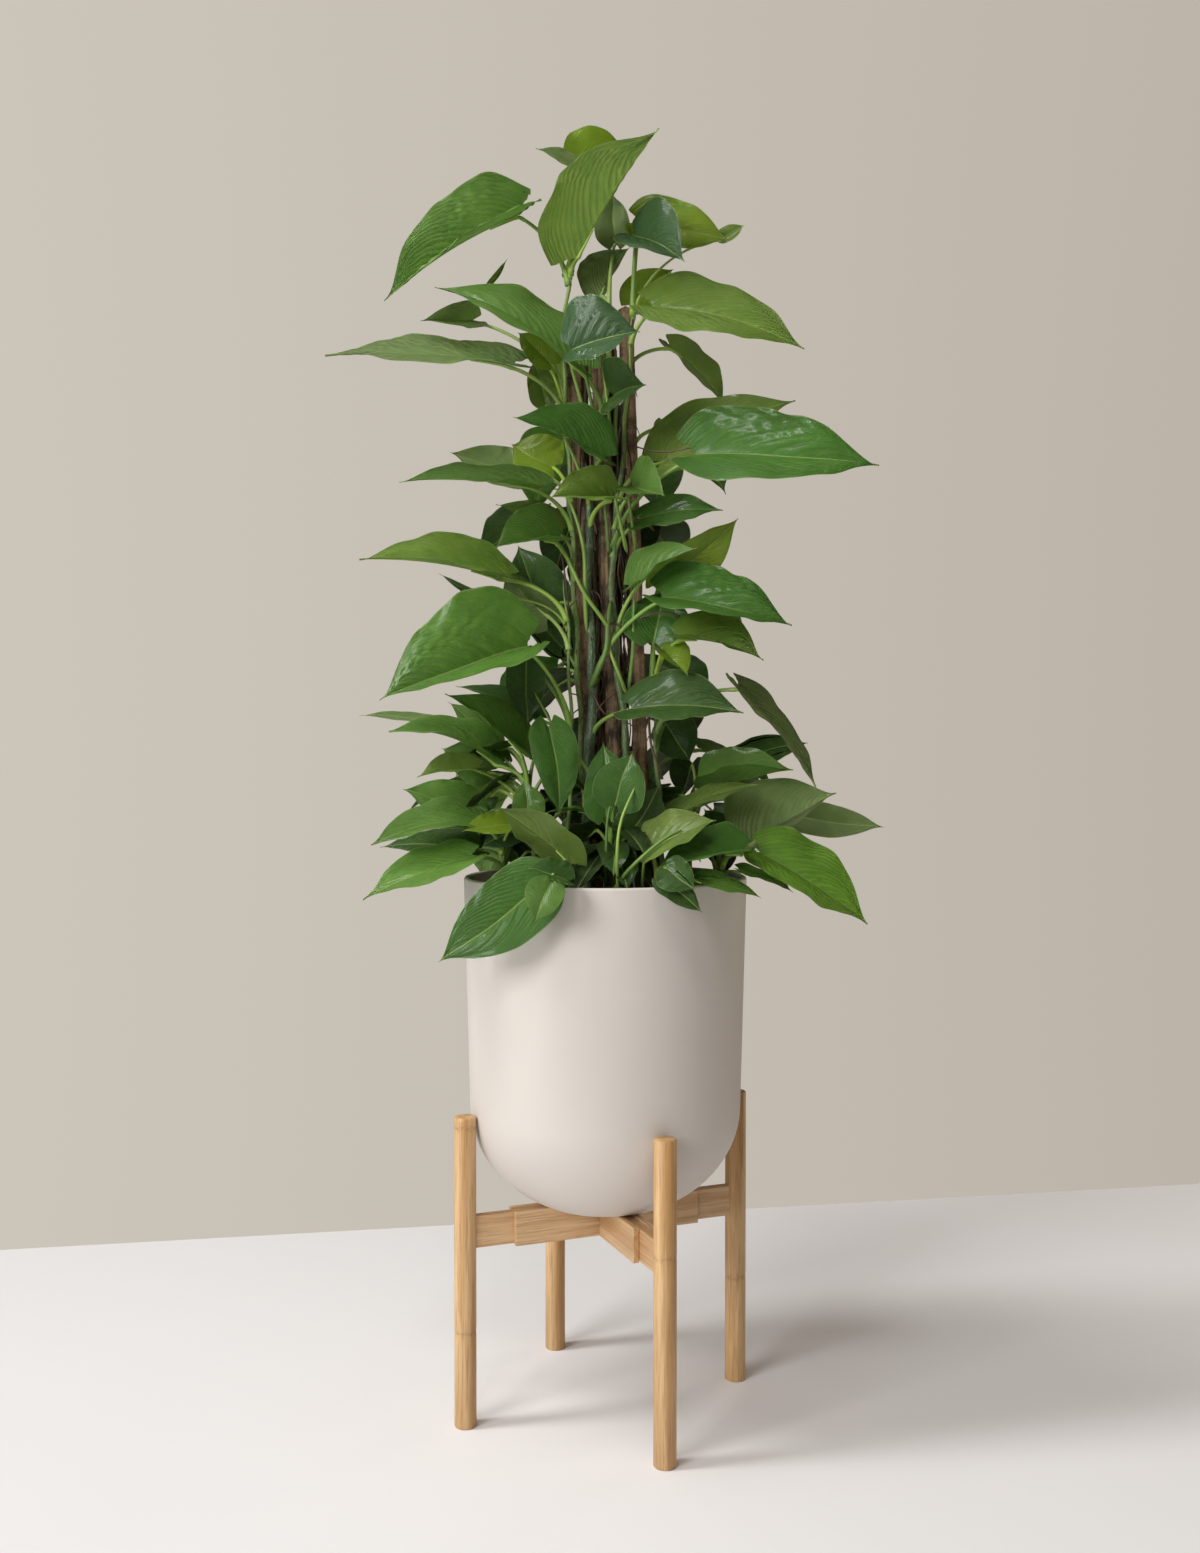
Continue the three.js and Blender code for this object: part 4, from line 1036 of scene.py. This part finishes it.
bm = empty_mesh()
for radius, places in LONG_ROOTS:
    centres = through([seen(place) for place in places], ROOT.rows * len(places))
    add_even_tube(bm, centres, radius, ROOT.sides, ROOT_BROWN, ROOT.age)
for stem, (_, path) in STEMS.items():
    lowest = path[0][2] + PEG.above_mix
    highest = path[-1][2] - PEG.below_tip
    for i in range(int((highest - lowest) / PEG.spacing)):
        add_peg(bm, stem, lowest + PEG.spacing * (i + peg_random.random()))
make_piece("aerial_roots", bm, [stem_skin])

# %% [markdown]
# ## Root mat between the stakes
#
# Behind the vines a mat of old brown roots fills the gaps between the stakes. It is also painted
# shade: its dark browns make the inside of the bundle look dark where the wall would show through.
# It could be one rough slab, but its edge would look cut. It is made as single roots that wander
# upward between the outer stakes. Their places are drawn with a fixed seed, because in a mat no
# single root matters.

# %% Root mat between the stakes
MAT = SimpleNamespace(
    roots=140, sides=5, bends=7, rows=3, age=0.3,         # rows for each bend
    thinnest=0.7, spread=1.8, shortest=110, longest=340, wander=5, buried=10,    # mm
    left=(-10, -37), right=(44, 22),                      # mm, at its foot and its top
    bottom=SOIL_TOP, top=1190, front=-9, back=17)         # mm
# dark browns: the mat paints the shade inside the bundle of stakes
MAT_SHADE_BROWNS = ("#4A382A", "#6B533C", "#33271D", "#7F6A4F")

mat_random = random.Random(14)
bm = empty_mesh()
for i in range(MAT.roots):
    length = mat_random.uniform(MAT.shortest, MAT.longest)
    lowest = mat_random.uniform(MAT.bottom - MAT.buried, MAT.top - length)
    share = mat_random.random()
    depth = mat_random.uniform(MAT.front, MAT.back)
    places = []
    for bend in range(MAT.bends + 1):
        height = lowest + length * bend / MAT.bends
        climb = (height - MAT.bottom) / (MAT.top - MAT.bottom)
        edges = [low + (high - low) * climb for low, high in (MAT.left, MAT.right)]
        across = edges[0] + (edges[1] - edges[0]) * share
        places.append(Vector((across + MAT.wander * mat_random.uniform(-1, 1),
                              depth + MAT.wander * mat_random.uniform(-1, 1), height)))
    centres = through(places, MAT.rows * MAT.bends)
    thickness = MAT.thinnest + MAT.spread * mat_random.random() ** 2
    add_even_tube(bm, centres, thickness, MAT.sides, tint(MAT_SHADE_BROWNS[i % len(MAT_SHADE_BROWNS)]), MAT.age)
make_piece("root_mat", bm, [stem_skin])

# %% [markdown]
# ## Stakes
#
# The plant climbs a bundle of split branches. Two still have their bark, the others are weathered
# wood with long cracks. Each is a grid rolled round the stake's axis. Stretched noise presses long
# furrows into it, and finer stretched noise in the material draws the grain.

# %% Wood materials
WOOD = SimpleNamespace(
    grain=3.03, patch=38.46, relief=1.2,    # mm
    fibre=1.111,                 # mm, coarser than real fibres, which wouldn't show
    stretch=0.07, pale="#A89A80")


def weathered_wood(name, dark, light, crack, fleck_share):
    """Rough untreated wood: dull, with grain and cracks that run up and down."""
    material = new_material(name)
    place = add_node(material, "TexCoord").outputs["Object"]
    stretched = add_node(material, "Mapping", {"Vector": place, "Scale": (1.0, 1.0, WOOD.stretch)})
    grain = add_node(material, "TexNoise", {
        "Vector": stretched, "Scale": per_metre(WOOD.grain), "Detail": 6.0, "Roughness": 0.7})
    blend = add_node(material, "MapRange", {"Value": grain, "From Min": 0.34, "From Max": 0.66})
    wood = add_node(material, "Mix", {
        MIX_FACTOR: blend, MIX_A: linear(dark), MIX_B: linear(light)}, data_type="RGBA")
    patches = add_node(material, "TexNoise", {
        "Vector": place, "Scale": per_metre(WOOD.patch), "Detail": 4.0, "Roughness": 0.7})
    shade = add_node(material, "MapRange", {
        "Value": patches, "From Min": 0.42, "From Max": 0.58, "To Min": 0.85, "To Max": 0.0})
    stained = add_node(material, "Mix", {
        MIX_FACTOR: shade, MIX_A: wood, MIX_B: linear(crack)}, data_type="RGBA")
    fibres = add_node(material, "TexNoise", {
        "Vector": stretched, "Scale": per_metre(WOOD.fibre), "Detail": 3.0})
    pale = add_node(material, "MapRange", {
        "Value": fibres, "From Min": 0.6, "From Max": 0.7, "To Max": fleck_share})
    flecked = add_node(material, "Mix", {
        MIX_FACTOR: pale, MIX_A: stained, MIX_B: linear(WOOD.pale)}, data_type="RGBA")
    bump = add_node(material, "Bump", {
        "Strength": 0.9, "Distance": WOOD.relief * MM, "Height": grain})
    return add_surface(material, {"Base Color": flecked, "Normal": bump, "Roughness": 0.85})


stripped_wood = weathered_wood("stripped_branch_wood", "#7A5E44", "#C2A37D", "#4A392A", 0.4)
branch_bark = weathered_wood("branch_bark", "#554534", "#AA8D6A", "#2E251C", 0.8)
print("wood made")

# %% Stakes
STAKE_DEPTH = 150                # mm
STAKE_GRID = (160, 36)           # quads along and round
STAKES = [                       # name, foot, head, top, radius, depth of the furrows, phase, wood
    ("stake_left", (-10, 2), (-37, 0), 1201, 9.5, 0.9, 0.3, stripped_wood),
    ("stake_bark", (16, -8), (-9, -8), 1197, 10.0, 1.8, 1.1, branch_bark),
    ("stake_right", (44, 0), (22, 0), 1208, 8.5, 0.6, 2.4, stripped_wood),
    ("stake_back", (20, 22), (0, 18), 1176, 9.5, 1.4, 4.0, branch_bark),
]
STAKE_RELIEF = [                 # waves round it, waves for each mm along it, offset, share
    (3.2, 0.012, 9, 1.5),        # furrows
    (1.1, 0.03, 5, 1.0),         # knots
    (9, 0.05, 3, 0.7),           # splinters
]
STAKE_SUNK = 0.8                 # share of the furrows' depth that the surface lies below the radius


def stake(name, foot, head, top, radius, rough, phase, wood):
    """A stake whose furrowed side is a rolled grid, with each end drawn in to its middle."""
    bm = empty_mesh()
    rows, sides = STAKE_GRID
    corners = bmesh.ops.create_grid(bm, x_segments=rows, y_segments=sides, size=0.5)["verts"]
    bottom = SOIL_TOP - STAKE_DEPTH
    foot, head = Vector((*foot, 0)), Vector((*head, 0))
    for corner in corners:
        t = corner.co.x + 0.5
        angle = -math.tau * (corner.co.y + 0.5)
        z = bottom + t * (top - bottom)
        climb = max(0.0, (z - SOIL_TOP) / (top - SOIL_TOP))
        x, y = math.cos(angle), math.sin(angle)
        bumps = sum(share * noise.noise(Vector((around * x, around * y, along * z + offset * phase)))
                    for around, along, offset, share in STAKE_RELIEF)
        reach = 0.0 if t in (0.0, 1.0) else radius + rough * (bumps - STAKE_SUNK)
        corner.co = foot.lerp(head, climb) + Vector((x * reach, y * reach, z))
    bmesh.ops.remove_doubles(bm, verts=corners, dist=MERGE)
    make_piece(name + "_wood", bm, [wood],
               stands_for=[name])


for row in STAKES:
    stake(*row)

# %% [markdown]
# ## Planter
#
# The planter is turned: one profile, spun round the axis. The wall tapers a little toward the round
# bottom, which is a superellipse cut flat where it stands. It is stoneware with a matte engobe, so
# its highlight is broad and soft, and only a faint grain breaks it.

# %% Ceramic material
SLIP = SimpleNamespace(cloud=142.9, grain=0.7143, relief=0.1)    # mm


def matte_stoneware():
    """Matte slip on stoneware: warm off-white, hardly any gloss, faint orange-peel grain."""
    material = new_material("matte_stoneware")
    place = add_node(material, "TexCoord").outputs["Object"]
    clouds = add_node(material, "TexNoise", {
        "Vector": place, "Scale": per_metre(SLIP.cloud), "Detail": 3.0})
    off_white = add_node(material, "Mix", {
        MIX_FACTOR: clouds, MIX_A: linear("#CFC8C1"), MIX_B: linear("#D6CFC8")}, data_type="RGBA")
    grain = add_node(material, "TexNoise", {
        "Vector": place, "Scale": per_metre(SLIP.grain), "Detail": 2.0})
    bump = add_node(material, "Bump", {
        "Strength": 0.15, "Distance": SLIP.relief * MM, "Height": grain})
    return add_surface(material, {
        "Base Color": off_white, "Normal": bump, "Roughness": 0.6, "IOR": 1.5})


ceramic = matte_stoneware()
print("ceramic made")

# %% Planter
PLANTER = SimpleNamespace(
    rim_radius=155, rim_height=584, waist_radius=148.6, waist_height=335, bottom=227,
    bowl_depth=121, bowl_power=2.04, wall=6, floor=8, lip=2.9, turns=192, outer_rows=40,
    inner_rows=24, lip_rows=12)


def bowl_profile(radius, depth, floor_height, steps):
    """The bowl's side from its flat up to its waist, a superellipse, as (radius, height)."""
    power = 2 / PLANTER.bowl_power
    end = math.asin(((PLANTER.waist_height - floor_height) / depth) ** (1 / power))
    angles = [end * (1 - step / steps) for step in range(steps + 1)]
    return [(radius * math.cos(angle) ** power,
             PLANTER.waist_height - depth * math.sin(angle) ** power) for angle in angles]


def spun(profile, turns):
    """A bmesh of a profile of (radius, height) spun once round the Z axis."""
    bm = empty_mesh()
    corners = [bm.verts.new((radius, 0, height)) for radius, height in profile]
    edges = [bm.edges.new(pair) for pair in zip(corners, corners[1:])]
    bmesh.ops.spin(bm, geom=corners + edges, cent=(0, 0, 0), axis=(0, 0, 1), dvec=(0, 0, 0),
                   angle=math.tau, steps=turns, use_merge=True)
    bmesh.ops.remove_doubles(bm, verts=bm.verts, dist=MERGE)
    return bm


def lip_profile(steps):
    """The rounded top of the wall, from its outer side to its inner side."""
    outer = PLANTER.rim_radius - PLANTER.lip
    inner = PLANTER.rim_radius - PLANTER.wall + PLANTER.lip
    height = PLANTER.rim_height - PLANTER.lip
    angles = [math.pi * step / steps for step in range(steps + 1)]
    return [((outer if angle < math.pi / 2 else inner) + PLANTER.lip * math.cos(angle),
             height + PLANTER.lip * math.sin(angle)) for angle in angles]


floor_height = PLANTER.bottom + PLANTER.floor
outside = bowl_profile(PLANTER.waist_radius, PLANTER.bowl_depth, PLANTER.bottom, PLANTER.outer_rows)
inside = bowl_profile(PLANTER.waist_radius - PLANTER.wall, PLANTER.bowl_depth - PLANTER.floor,
                      floor_height, PLANTER.inner_rows)
wall_profile = [(0, PLANTER.bottom), *outside, *lip_profile(PLANTER.lip_rows), *reversed(inside),
                (0, floor_height)]
make_piece("planter_shell", spun(wall_profile, PLANTER.turns), [ceramic],
           stands_for=["planter"])

# %% [markdown]
# ## Potting mix
#
# The mix is mostly composted bark: a dark, damp, lumpy mass with chips on top. The lumps are noise
# on a turned surface. The chips are small squashed icospheres with 20 faces each, thrown with a
# fixed seed.

# %% Potting mix material
CRUMB = SimpleNamespace(size=4.167, relief=2.0)    # mm


def compost(name, dark, light):
    """Damp composted bark: very dark and rough, with lighter fibres."""
    material = new_material(name)
    place = add_node(material, "TexCoord").outputs["Object"]
    crumbs = add_node(material, "TexNoise", {
        "Vector": place, "Scale": per_metre(CRUMB.size), "Detail": 5.0, "Roughness": 0.7})
    blend = add_node(material, "MapRange", {"Value": crumbs, "From Min": 0.4, "From Max": 0.68})
    colour = add_node(material, "Mix", {
        MIX_FACTOR: blend, MIX_A: linear(dark), MIX_B: linear(light)}, data_type="RGBA")
    bump = add_node(material, "Bump", {
        "Strength": 1.0, "Distance": CRUMB.relief * MM, "Height": crumbs})
    return add_surface(material, {"Base Color": colour, "Normal": bump, "Roughness": 0.95})


compost_mix = compost("composted_bark", "#120D0A", "#3A2A1F")
bark_chip = compost("bark_chip", "#2A1C13", "#5E4532")
print("compost made")

# %% Potting mix
MIX = SimpleNamespace(clearance=0.3, inset=1, edge_drop=6, turns=120, rings=36, side_rows=10,
                      lumps=3.5, lump_waves=((0.09, 1.0), (0.31, 0.5)))    # for each mm, share
CHIP = SimpleNamespace(count=300, size=5.0, reach=134, thickness=0.32, width=0.45, width_spread=0.4,
                       tilt=0.5)


def mix_profile():
    """Half the outline of the mix, from its flat bottom up its side and in over its top."""
    radius = PLANTER.waist_radius - PLANTER.wall - MIX.clearance
    side = bowl_profile(radius, PLANTER.bowl_depth - PLANTER.floor - MIX.clearance,
                        floor_height + MIX.clearance, MIX.side_rows)
    share = (SOIL_TOP - PLANTER.waist_height) / (PLANTER.rim_height - PLANTER.waist_height)
    top_radius = radius + share * (PLANTER.rim_radius - PLANTER.waist_radius) - MIX.inset
    rings = [(top_radius * (1 - ring / MIX.rings), SOIL_TOP) for ring in range(2, MIX.rings + 1)]
    return [(0, side[0][1]), *side, (top_radius, SOIL_TOP - MIX.edge_drop), *rings]


def add_chip(bm):
    """A squashed icosphere, thrown somewhere on the mix."""
    distance = CHIP.reach * math.sqrt(chip_random.random())
    angle = math.tau * chip_random.random()
    size = CHIP.size * (0.5 + chip_random.random())
    spin = Matrix.Rotation(math.tau * chip_random.random(), 4, "Z")
    tilt = Matrix.Rotation(CHIP.tilt * (chip_random.random() - 0.5), 4, "X")
    width = CHIP.width + CHIP.width_spread * chip_random.random()
    stretch = Matrix.Diagonal((size, size * width, size * CHIP.thickness, 1))
    place = Matrix.Translation((distance * math.cos(angle), distance * math.sin(angle),
                                SOIL_TOP + MIX.lumps / 2))
    bmesh.ops.create_icosphere(bm, subdivisions=1, radius=1.0, matrix=place @ spin @ tilt @ stretch)


bm = spun(mix_profile(), MIX.turns)
for corner in bm.verts:
    if corner.co.z > SOIL_TOP - 1:
        lump = sum(share * noise.noise(corner.co * waves) for waves, share in MIX.lump_waves)
        corner.co.z += MIX.lumps * lump
make_piece("potting_mix_surface", bm, [compost_mix], stands_for=["potting_mix"])

chip_random = random.Random(21)
bm = empty_mesh()
for _ in range(CHIP.count):
    add_chip(bm)
make_piece("potting_mix_chips", bm, [bark_chip])

# %% [markdown]
# ## Bamboo
#
# The stand is bamboo that was split, glued up and planed, then lacquered thinly. The fibres show as
# fine light and dark streaks along each piece. A streak is noise that is stretched a lot along the
# grain. The rails and plates lie at an angle in plan, so a Mapping node first turns the coordinates
# until the grain runs along X.

# %% Bamboo materials
STAND_TURN = 22                  # degrees from +X to the first arm of the cross
BAMBOO = SimpleNamespace(
    band=11.11, fibre=1.613, speck=3.846, relief=0.2,    # mm
    stretch=0.035, joint="#8E643C")


def bamboo(name, dark, middle, light, grain_scale, turn=0.0, jointed=False):
    """Lacquered bamboo: pale straw to honey, satin, with fibres a millimetre or two wide."""
    material = new_material(name)
    place = add_node(material, "TexCoord").outputs["Object"]
    turned = add_node(material, "Mapping", {
        "Vector": place, "Rotation": (0.0, 0.0, -math.radians(turn))})
    stretched = add_node(material, "Mapping", {"Vector": turned, "Scale": grain_scale})
    broad = add_node(material, "TexNoise", {
        "Vector": stretched, "Scale": per_metre(BAMBOO.band), "Detail": 3.0, "Roughness": 0.55})
    fine = add_node(material, "TexNoise", {
        "Vector": stretched, "Scale": per_metre(BAMBOO.fibre), "Detail": 3.0, "Roughness": 0.6})
    warm = add_node(material, "MapRange", {"Value": broad, "From Min": 0.4, "From Max": 0.6})
    base = add_node(material, "Mix", {
        MIX_FACTOR: warm, MIX_A: linear(middle), MIX_B: linear(light)}, data_type="RGBA")
    fibre = add_node(material, "MapRange", {
        "Value": fine, "From Min": 0.48, "From Max": 0.66, "To Max": 0.6})
    colour = add_node(material, "Mix", {
        MIX_FACTOR: fibre, MIX_A: base, MIX_B: linear(dark)}, data_type="RGBA")
    if jointed:
        joint = add_node(material, "Attribute", attribute_name="tone")
        specks = add_node(material, "TexNoise", {
            "Vector": place, "Scale": per_metre(BAMBOO.speck)})
        patchy = add_node(material, "MapRange", {
            "Value": specks, "From Min": 0.4, "From Max": 0.62, "To Min": 0.1})
        share = add_node(material, "Math", {0: joint.outputs["Alpha"], 1: patchy},
                         operation="MULTIPLY")
        colour = add_node(material, "Mix", {
            MIX_FACTOR: share, MIX_A: colour, MIX_B: linear(BAMBOO.joint)}, data_type="RGBA")
    bump = add_node(material, "Bump", {
        "Strength": 0.25, "Distance": BAMBOO.relief * MM, "Height": fine})
    return add_surface(material, {
        "Base Color": colour, "Normal": bump, "Roughness": 0.48, "Coat Weight": 0.1,
        "Coat Roughness": 0.35})


UPRIGHT_GRAIN = (1.0, 1.0, BAMBOO.stretch)
LEVEL_GRAIN = (BAMBOO.stretch, 1.0, 1.0)
STRIP = ("#A27A52", "#C09668", "#D6B48A", LEVEL_GRAIN)
pole_bamboo = bamboo("bamboo_pole", "#A07648", "#BC9059", "#D8B484", UPRIGHT_GRAIN, jointed=True)
long_bamboo = bamboo("bamboo_strip_long", *STRIP, STAND_TURN)
cross_bamboo = bamboo("bamboo_strip_cross", *STRIP, STAND_TURN + 90)
print("bamboo made")

# %% [markdown]
# ## Legs
#
# A leg is a round pole with eased ends. Half of its outline is spun round the pole's axis. Where the
# bamboo had a joint, the outline steps in a little, and the alpha of the attribute "tone" holds a mark
# that the material turns into a brown, speckled ring.

# %% Legs
LEG = SimpleNamespace(radius=11.8, height=332, ring=161, bevel=1.2, sides=64)
ARMS = {"back_right": 0, "back_left": 90, "front_left": 180, "front_right": 270}
CULM_JOINTS = {"back_right": (120,), "back_left": (155,), "front_left": (102, 321),
               "front_right": (212,)}
JOINT = SimpleNamespace(step=0.25, levels=(-6, -4, -2, 0, 2, 4, 6), mark=0.55, mark_width=3.0)


def near_joint(height, joints):
    """1 at a joint of the culm, and 0 away from it."""
    return sum(math.exp(-((height - joint) / JOINT.mark_width) ** 2) for joint in joints)


def leg_profile(joints):
    """Half the leg's outline: bevelled ends, and a faint step where the culm had a joint."""
    inner, top = LEG.radius - LEG.bevel, LEG.height - LEG.bevel
    marks = [joint + offset for joint in joints for offset in JOINT.levels]
    levels = sorted([LEG.bevel, top] + [level for level in marks if level < top])
    side = [(LEG.radius - JOINT.step * near_joint(level, joints), level) for level in levels]
    return [(0, 0), (inner, 0), *side, (inner, LEG.height), (0, LEG.height)]


for arm, turn in ARMS.items():
    angle = math.radians(turn + STAND_TURN)
    bm = spun(leg_profile(CULM_JOINTS[arm]), LEG.sides)
    tone_layer = bm.verts.layers.float_color["tone"]
    for corner in bm.verts:
        corner[tone_layer] = (0, 0, 0, JOINT.mark * near_joint(corner.co.z, CULM_JOINTS[arm]))
    bmesh.ops.translate(bm, verts=bm.verts,
                        vec=(LEG.ring * math.cos(angle), LEG.ring * math.sin(angle), 0))
    make_piece(f"pole_{arm}", bm, [pole_bamboo], f"arm_{arm}", [f"leg_{arm}"])

# %% [markdown]
# ## Rails, plates and block
#
# The flat parts of the cross are planed strips with slightly eased edges. The frame's solids already
# have their form, with every notch. So each solid is copied, its triangles are joined to flat faces
# again, and its edges are bevelled. The copy then stands for the solid.

# %% Rails, plates and block
EDGE_BEVEL = 0.7                 # mm


def eased(name, node, material, body):
    """A copy of a flat-faced solid of the frame with its sharp edges eased."""
    bm = empty_mesh()
    bm.from_mesh(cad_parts[node].data)
    bmesh.ops.scale(bm, vec=(1 / MM, 1 / MM, 1 / MM), verts=bm.verts)
    bmesh.ops.remove_doubles(bm, verts=bm.verts, dist=MERGE)
    bmesh.ops.dissolve_limit(bm, angle_limit=math.radians(1), verts=bm.verts, edges=bm.edges)
    bmesh.ops.bevel(bm, geom=bm.edges[:], offset=EDGE_BEVEL, offset_type="OFFSET", segments=2,
                    profile=0.5, affect="EDGES", material=-1)
    piece = make_piece(name, bm, [material], body, [node])
    for face in piece.data.polygons:
        face.use_smooth = False


for arm, turn in ARMS.items():
    eased(f"slider_{arm}", f"rail_{arm}", cross_bamboo if turn % 180 else long_bamboo, f"arm_{arm}")
for bar, material in (("long", long_bamboo), ("cross", cross_bamboo)):
    for side in ("near", "far"):
        eased(f"sleeve_{bar}_{side}", f"plate_{bar}_{side}", material, "base")
eased("middle_block", "cross_block", long_bamboo, "base")

# %% [markdown]
# ## Floor, backdrop and light
#
# The floor is a pale matte plane that ends at the wall's foot, and the background colour stands for
# the wall, lighter on the left and darker on the right: painted light that falls off from the key.
# The key light is a tall, narrow softbox on the upper left. Its narrow side keeps the shadows of the
# upright legs thin, and its height lets the shadow of the plant fade with distance.
# Broad, weaker lights from the front and above fill the rest, and a small one high in front draws
# the glints on the waxy leaves. Each light's power is worked out from the brightness that it gives.

# %% Floor, background and lights
FLOOR = SimpleNamespace(
    back_left=Vector((-860, 499, 0)), back_right=Vector((990, 832, 0)), reach=2600,    # mm
    cloud=666.7)                 # mm


def plain_floor():
    """Matte floor paint: nearly white, with clouds that can hardly be seen."""
    material = new_material("painted_floor")
    place = add_node(material, "TexCoord").outputs["Object"]
    clouds = add_node(material, "TexNoise", {"Vector": place, "Scale": per_metre(FLOOR.cloud)})
    white = add_node(material, "Mix", {
        MIX_FACTOR: clouds, MIX_A: linear("#EBE9E9"), MIX_B: linear("#F0EFEF")}, data_type="RGBA")
    return add_surface(material, {"Base Color": white, "Roughness": 0.8})


along = (FLOOR.back_right - FLOOR.back_left).normalized()
toward = Vector((along.y, -along.x, 0))
centre = (FLOOR.back_left + FLOOR.back_right) / 2 + toward * FLOOR.reach
turn = Matrix.Rotation(math.atan2(along.y, along.x), 4, "Z")
bm = bmesh.new()
bmesh.ops.create_grid(bm, x_segments=1, y_segments=1, size=FLOOR.reach)
bmesh.ops.transform(bm, matrix=Matrix.Translation(centre) @ turn, verts=bm.verts)
as_object("floor", bm, [plain_floor()])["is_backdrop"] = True

world = bpy.data.worlds.new("studio")
world.use_nodes = True
bpy.context.scene.world = world
world.node_tree.nodes.clear()
WALL_PAINTED_LIGHT = ("#CCC5BA", "#BCB4A9")    # on the left and on the right: painted light, lighter toward the key and darker away from it
ROOM = ("#F2EEEA", "#D9BC98")    # the light that comes from either side, and its strength
ROOM_STRENGTH = (0.42, 0.02)
WALL_REACH = 0.36                # the X of the direction at which the wall has its end colours


def across_view(reach, left=0.0, right=1.0):
    """A number that goes from left to right with a ray's direction, within this reach in X."""
    direction = add_node(world, "TexCoord")
    parts = add_node(world, "SeparateXYZ", {0: direction.outputs["Generated"]})
    return add_node(world, "MapRange", {
        "Value": parts.outputs["X"], "From Min": -reach, "From Max": reach,
        "To Min": left, "To Max": right})


def blended(reach, colours):
    """A colour that goes from the left one to the right one of these two."""
    left, right = [linear(colour) for colour in colours]
    return add_node(world, "Mix", {MIX_FACTOR: across_view(reach), MIX_A: left, MIX_B: right},
                    data_type="RGBA")


wall = add_node(world, "Background", {"Color": blended(WALL_REACH, WALL_PAINTED_LIGHT)})
room = add_node(world, "Background", {
    "Color": blended(1.0, ROOM), "Strength": across_view(1.0, *ROOM_STRENGTH)})
ray = add_node(world, "LightPath")
choose = add_node(world, "MixShader", {0: ray.outputs["Is Camera Ray"], 1: room, 2: wall})
add_node(world, "OutputWorld", {"Surface": choose})

SOFTBOX_AIM = Vector((0, 0, 0.6))    # metres
SOFTBOXES = [                    # name, share of white, azimuth, elevation, distance, size, colour
    ("key", 0.52, 77, 58, 5.5, (0.8, 3.2), "#FFFFFF"),
    ("front_fill", 0.64, 40, 22, 5.5, (2.4, 2.4), "#FFFFFF"),
    ("overhead", 0.06, 60, 82, 4.0, (3.6, 3.6), "#FFFFFF"),
    ("front_top", 0.12, 12, 60, 4.0, (0.6, 0.6), "#FFFFFF"),
    ("right_bounce", 0.17, -122, 8, 4.0, (2.0, 2.0), "#F4DFC4"),
]


def softbox(name, share, azimuth, elevation, distance, size, colour):
    """A rectangular light that gives this share of full white to a surface that faces it.

    The surface is where the light aims. azimuth is in degrees to the left of the camera's side,
    elevation in degrees above the floor, and distance and size are in metres.
    """
    around, above = math.radians(azimuth), math.radians(elevation)
    away = Vector((-math.sin(around) * math.cos(above), -math.cos(around) * math.cos(above),
                   math.sin(above)))
    data = bpy.data.lights.new(name, "AREA")
    data.shape = "RECTANGLE"
    data.size, data.size_y = size
    data.energy = share * math.pi ** 2 * distance ** 2
    data.color = tint(colour)
    lamp = bpy.data.objects.new(name, data)
    lamp.location = SOFTBOX_AIM + away * distance
    lamp.rotation_euler = (-away).to_track_quat("-Z", "Y").to_euler()
    bpy.context.scene.collection.objects.link(lamp)


for row in SOFTBOXES:
    softbox(*row)
bpy.context.scene.view_settings.view_transform = "Standard"
print("floor, background and", len(SOFTBOXES), "soft lights")

# %% [markdown]
# ## Last measures
#
# Both boxes, the frame's and the dressed model's, are measured and printed. The dressed model has
# to stay in the frame's own box.

# %% Sizes and finish
size = {"cad": [list(corner) for corner in cad_box],
        "visual": [list(corner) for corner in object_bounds()]}
print("cad box:", size["cad"], "visual box:", size["visual"])
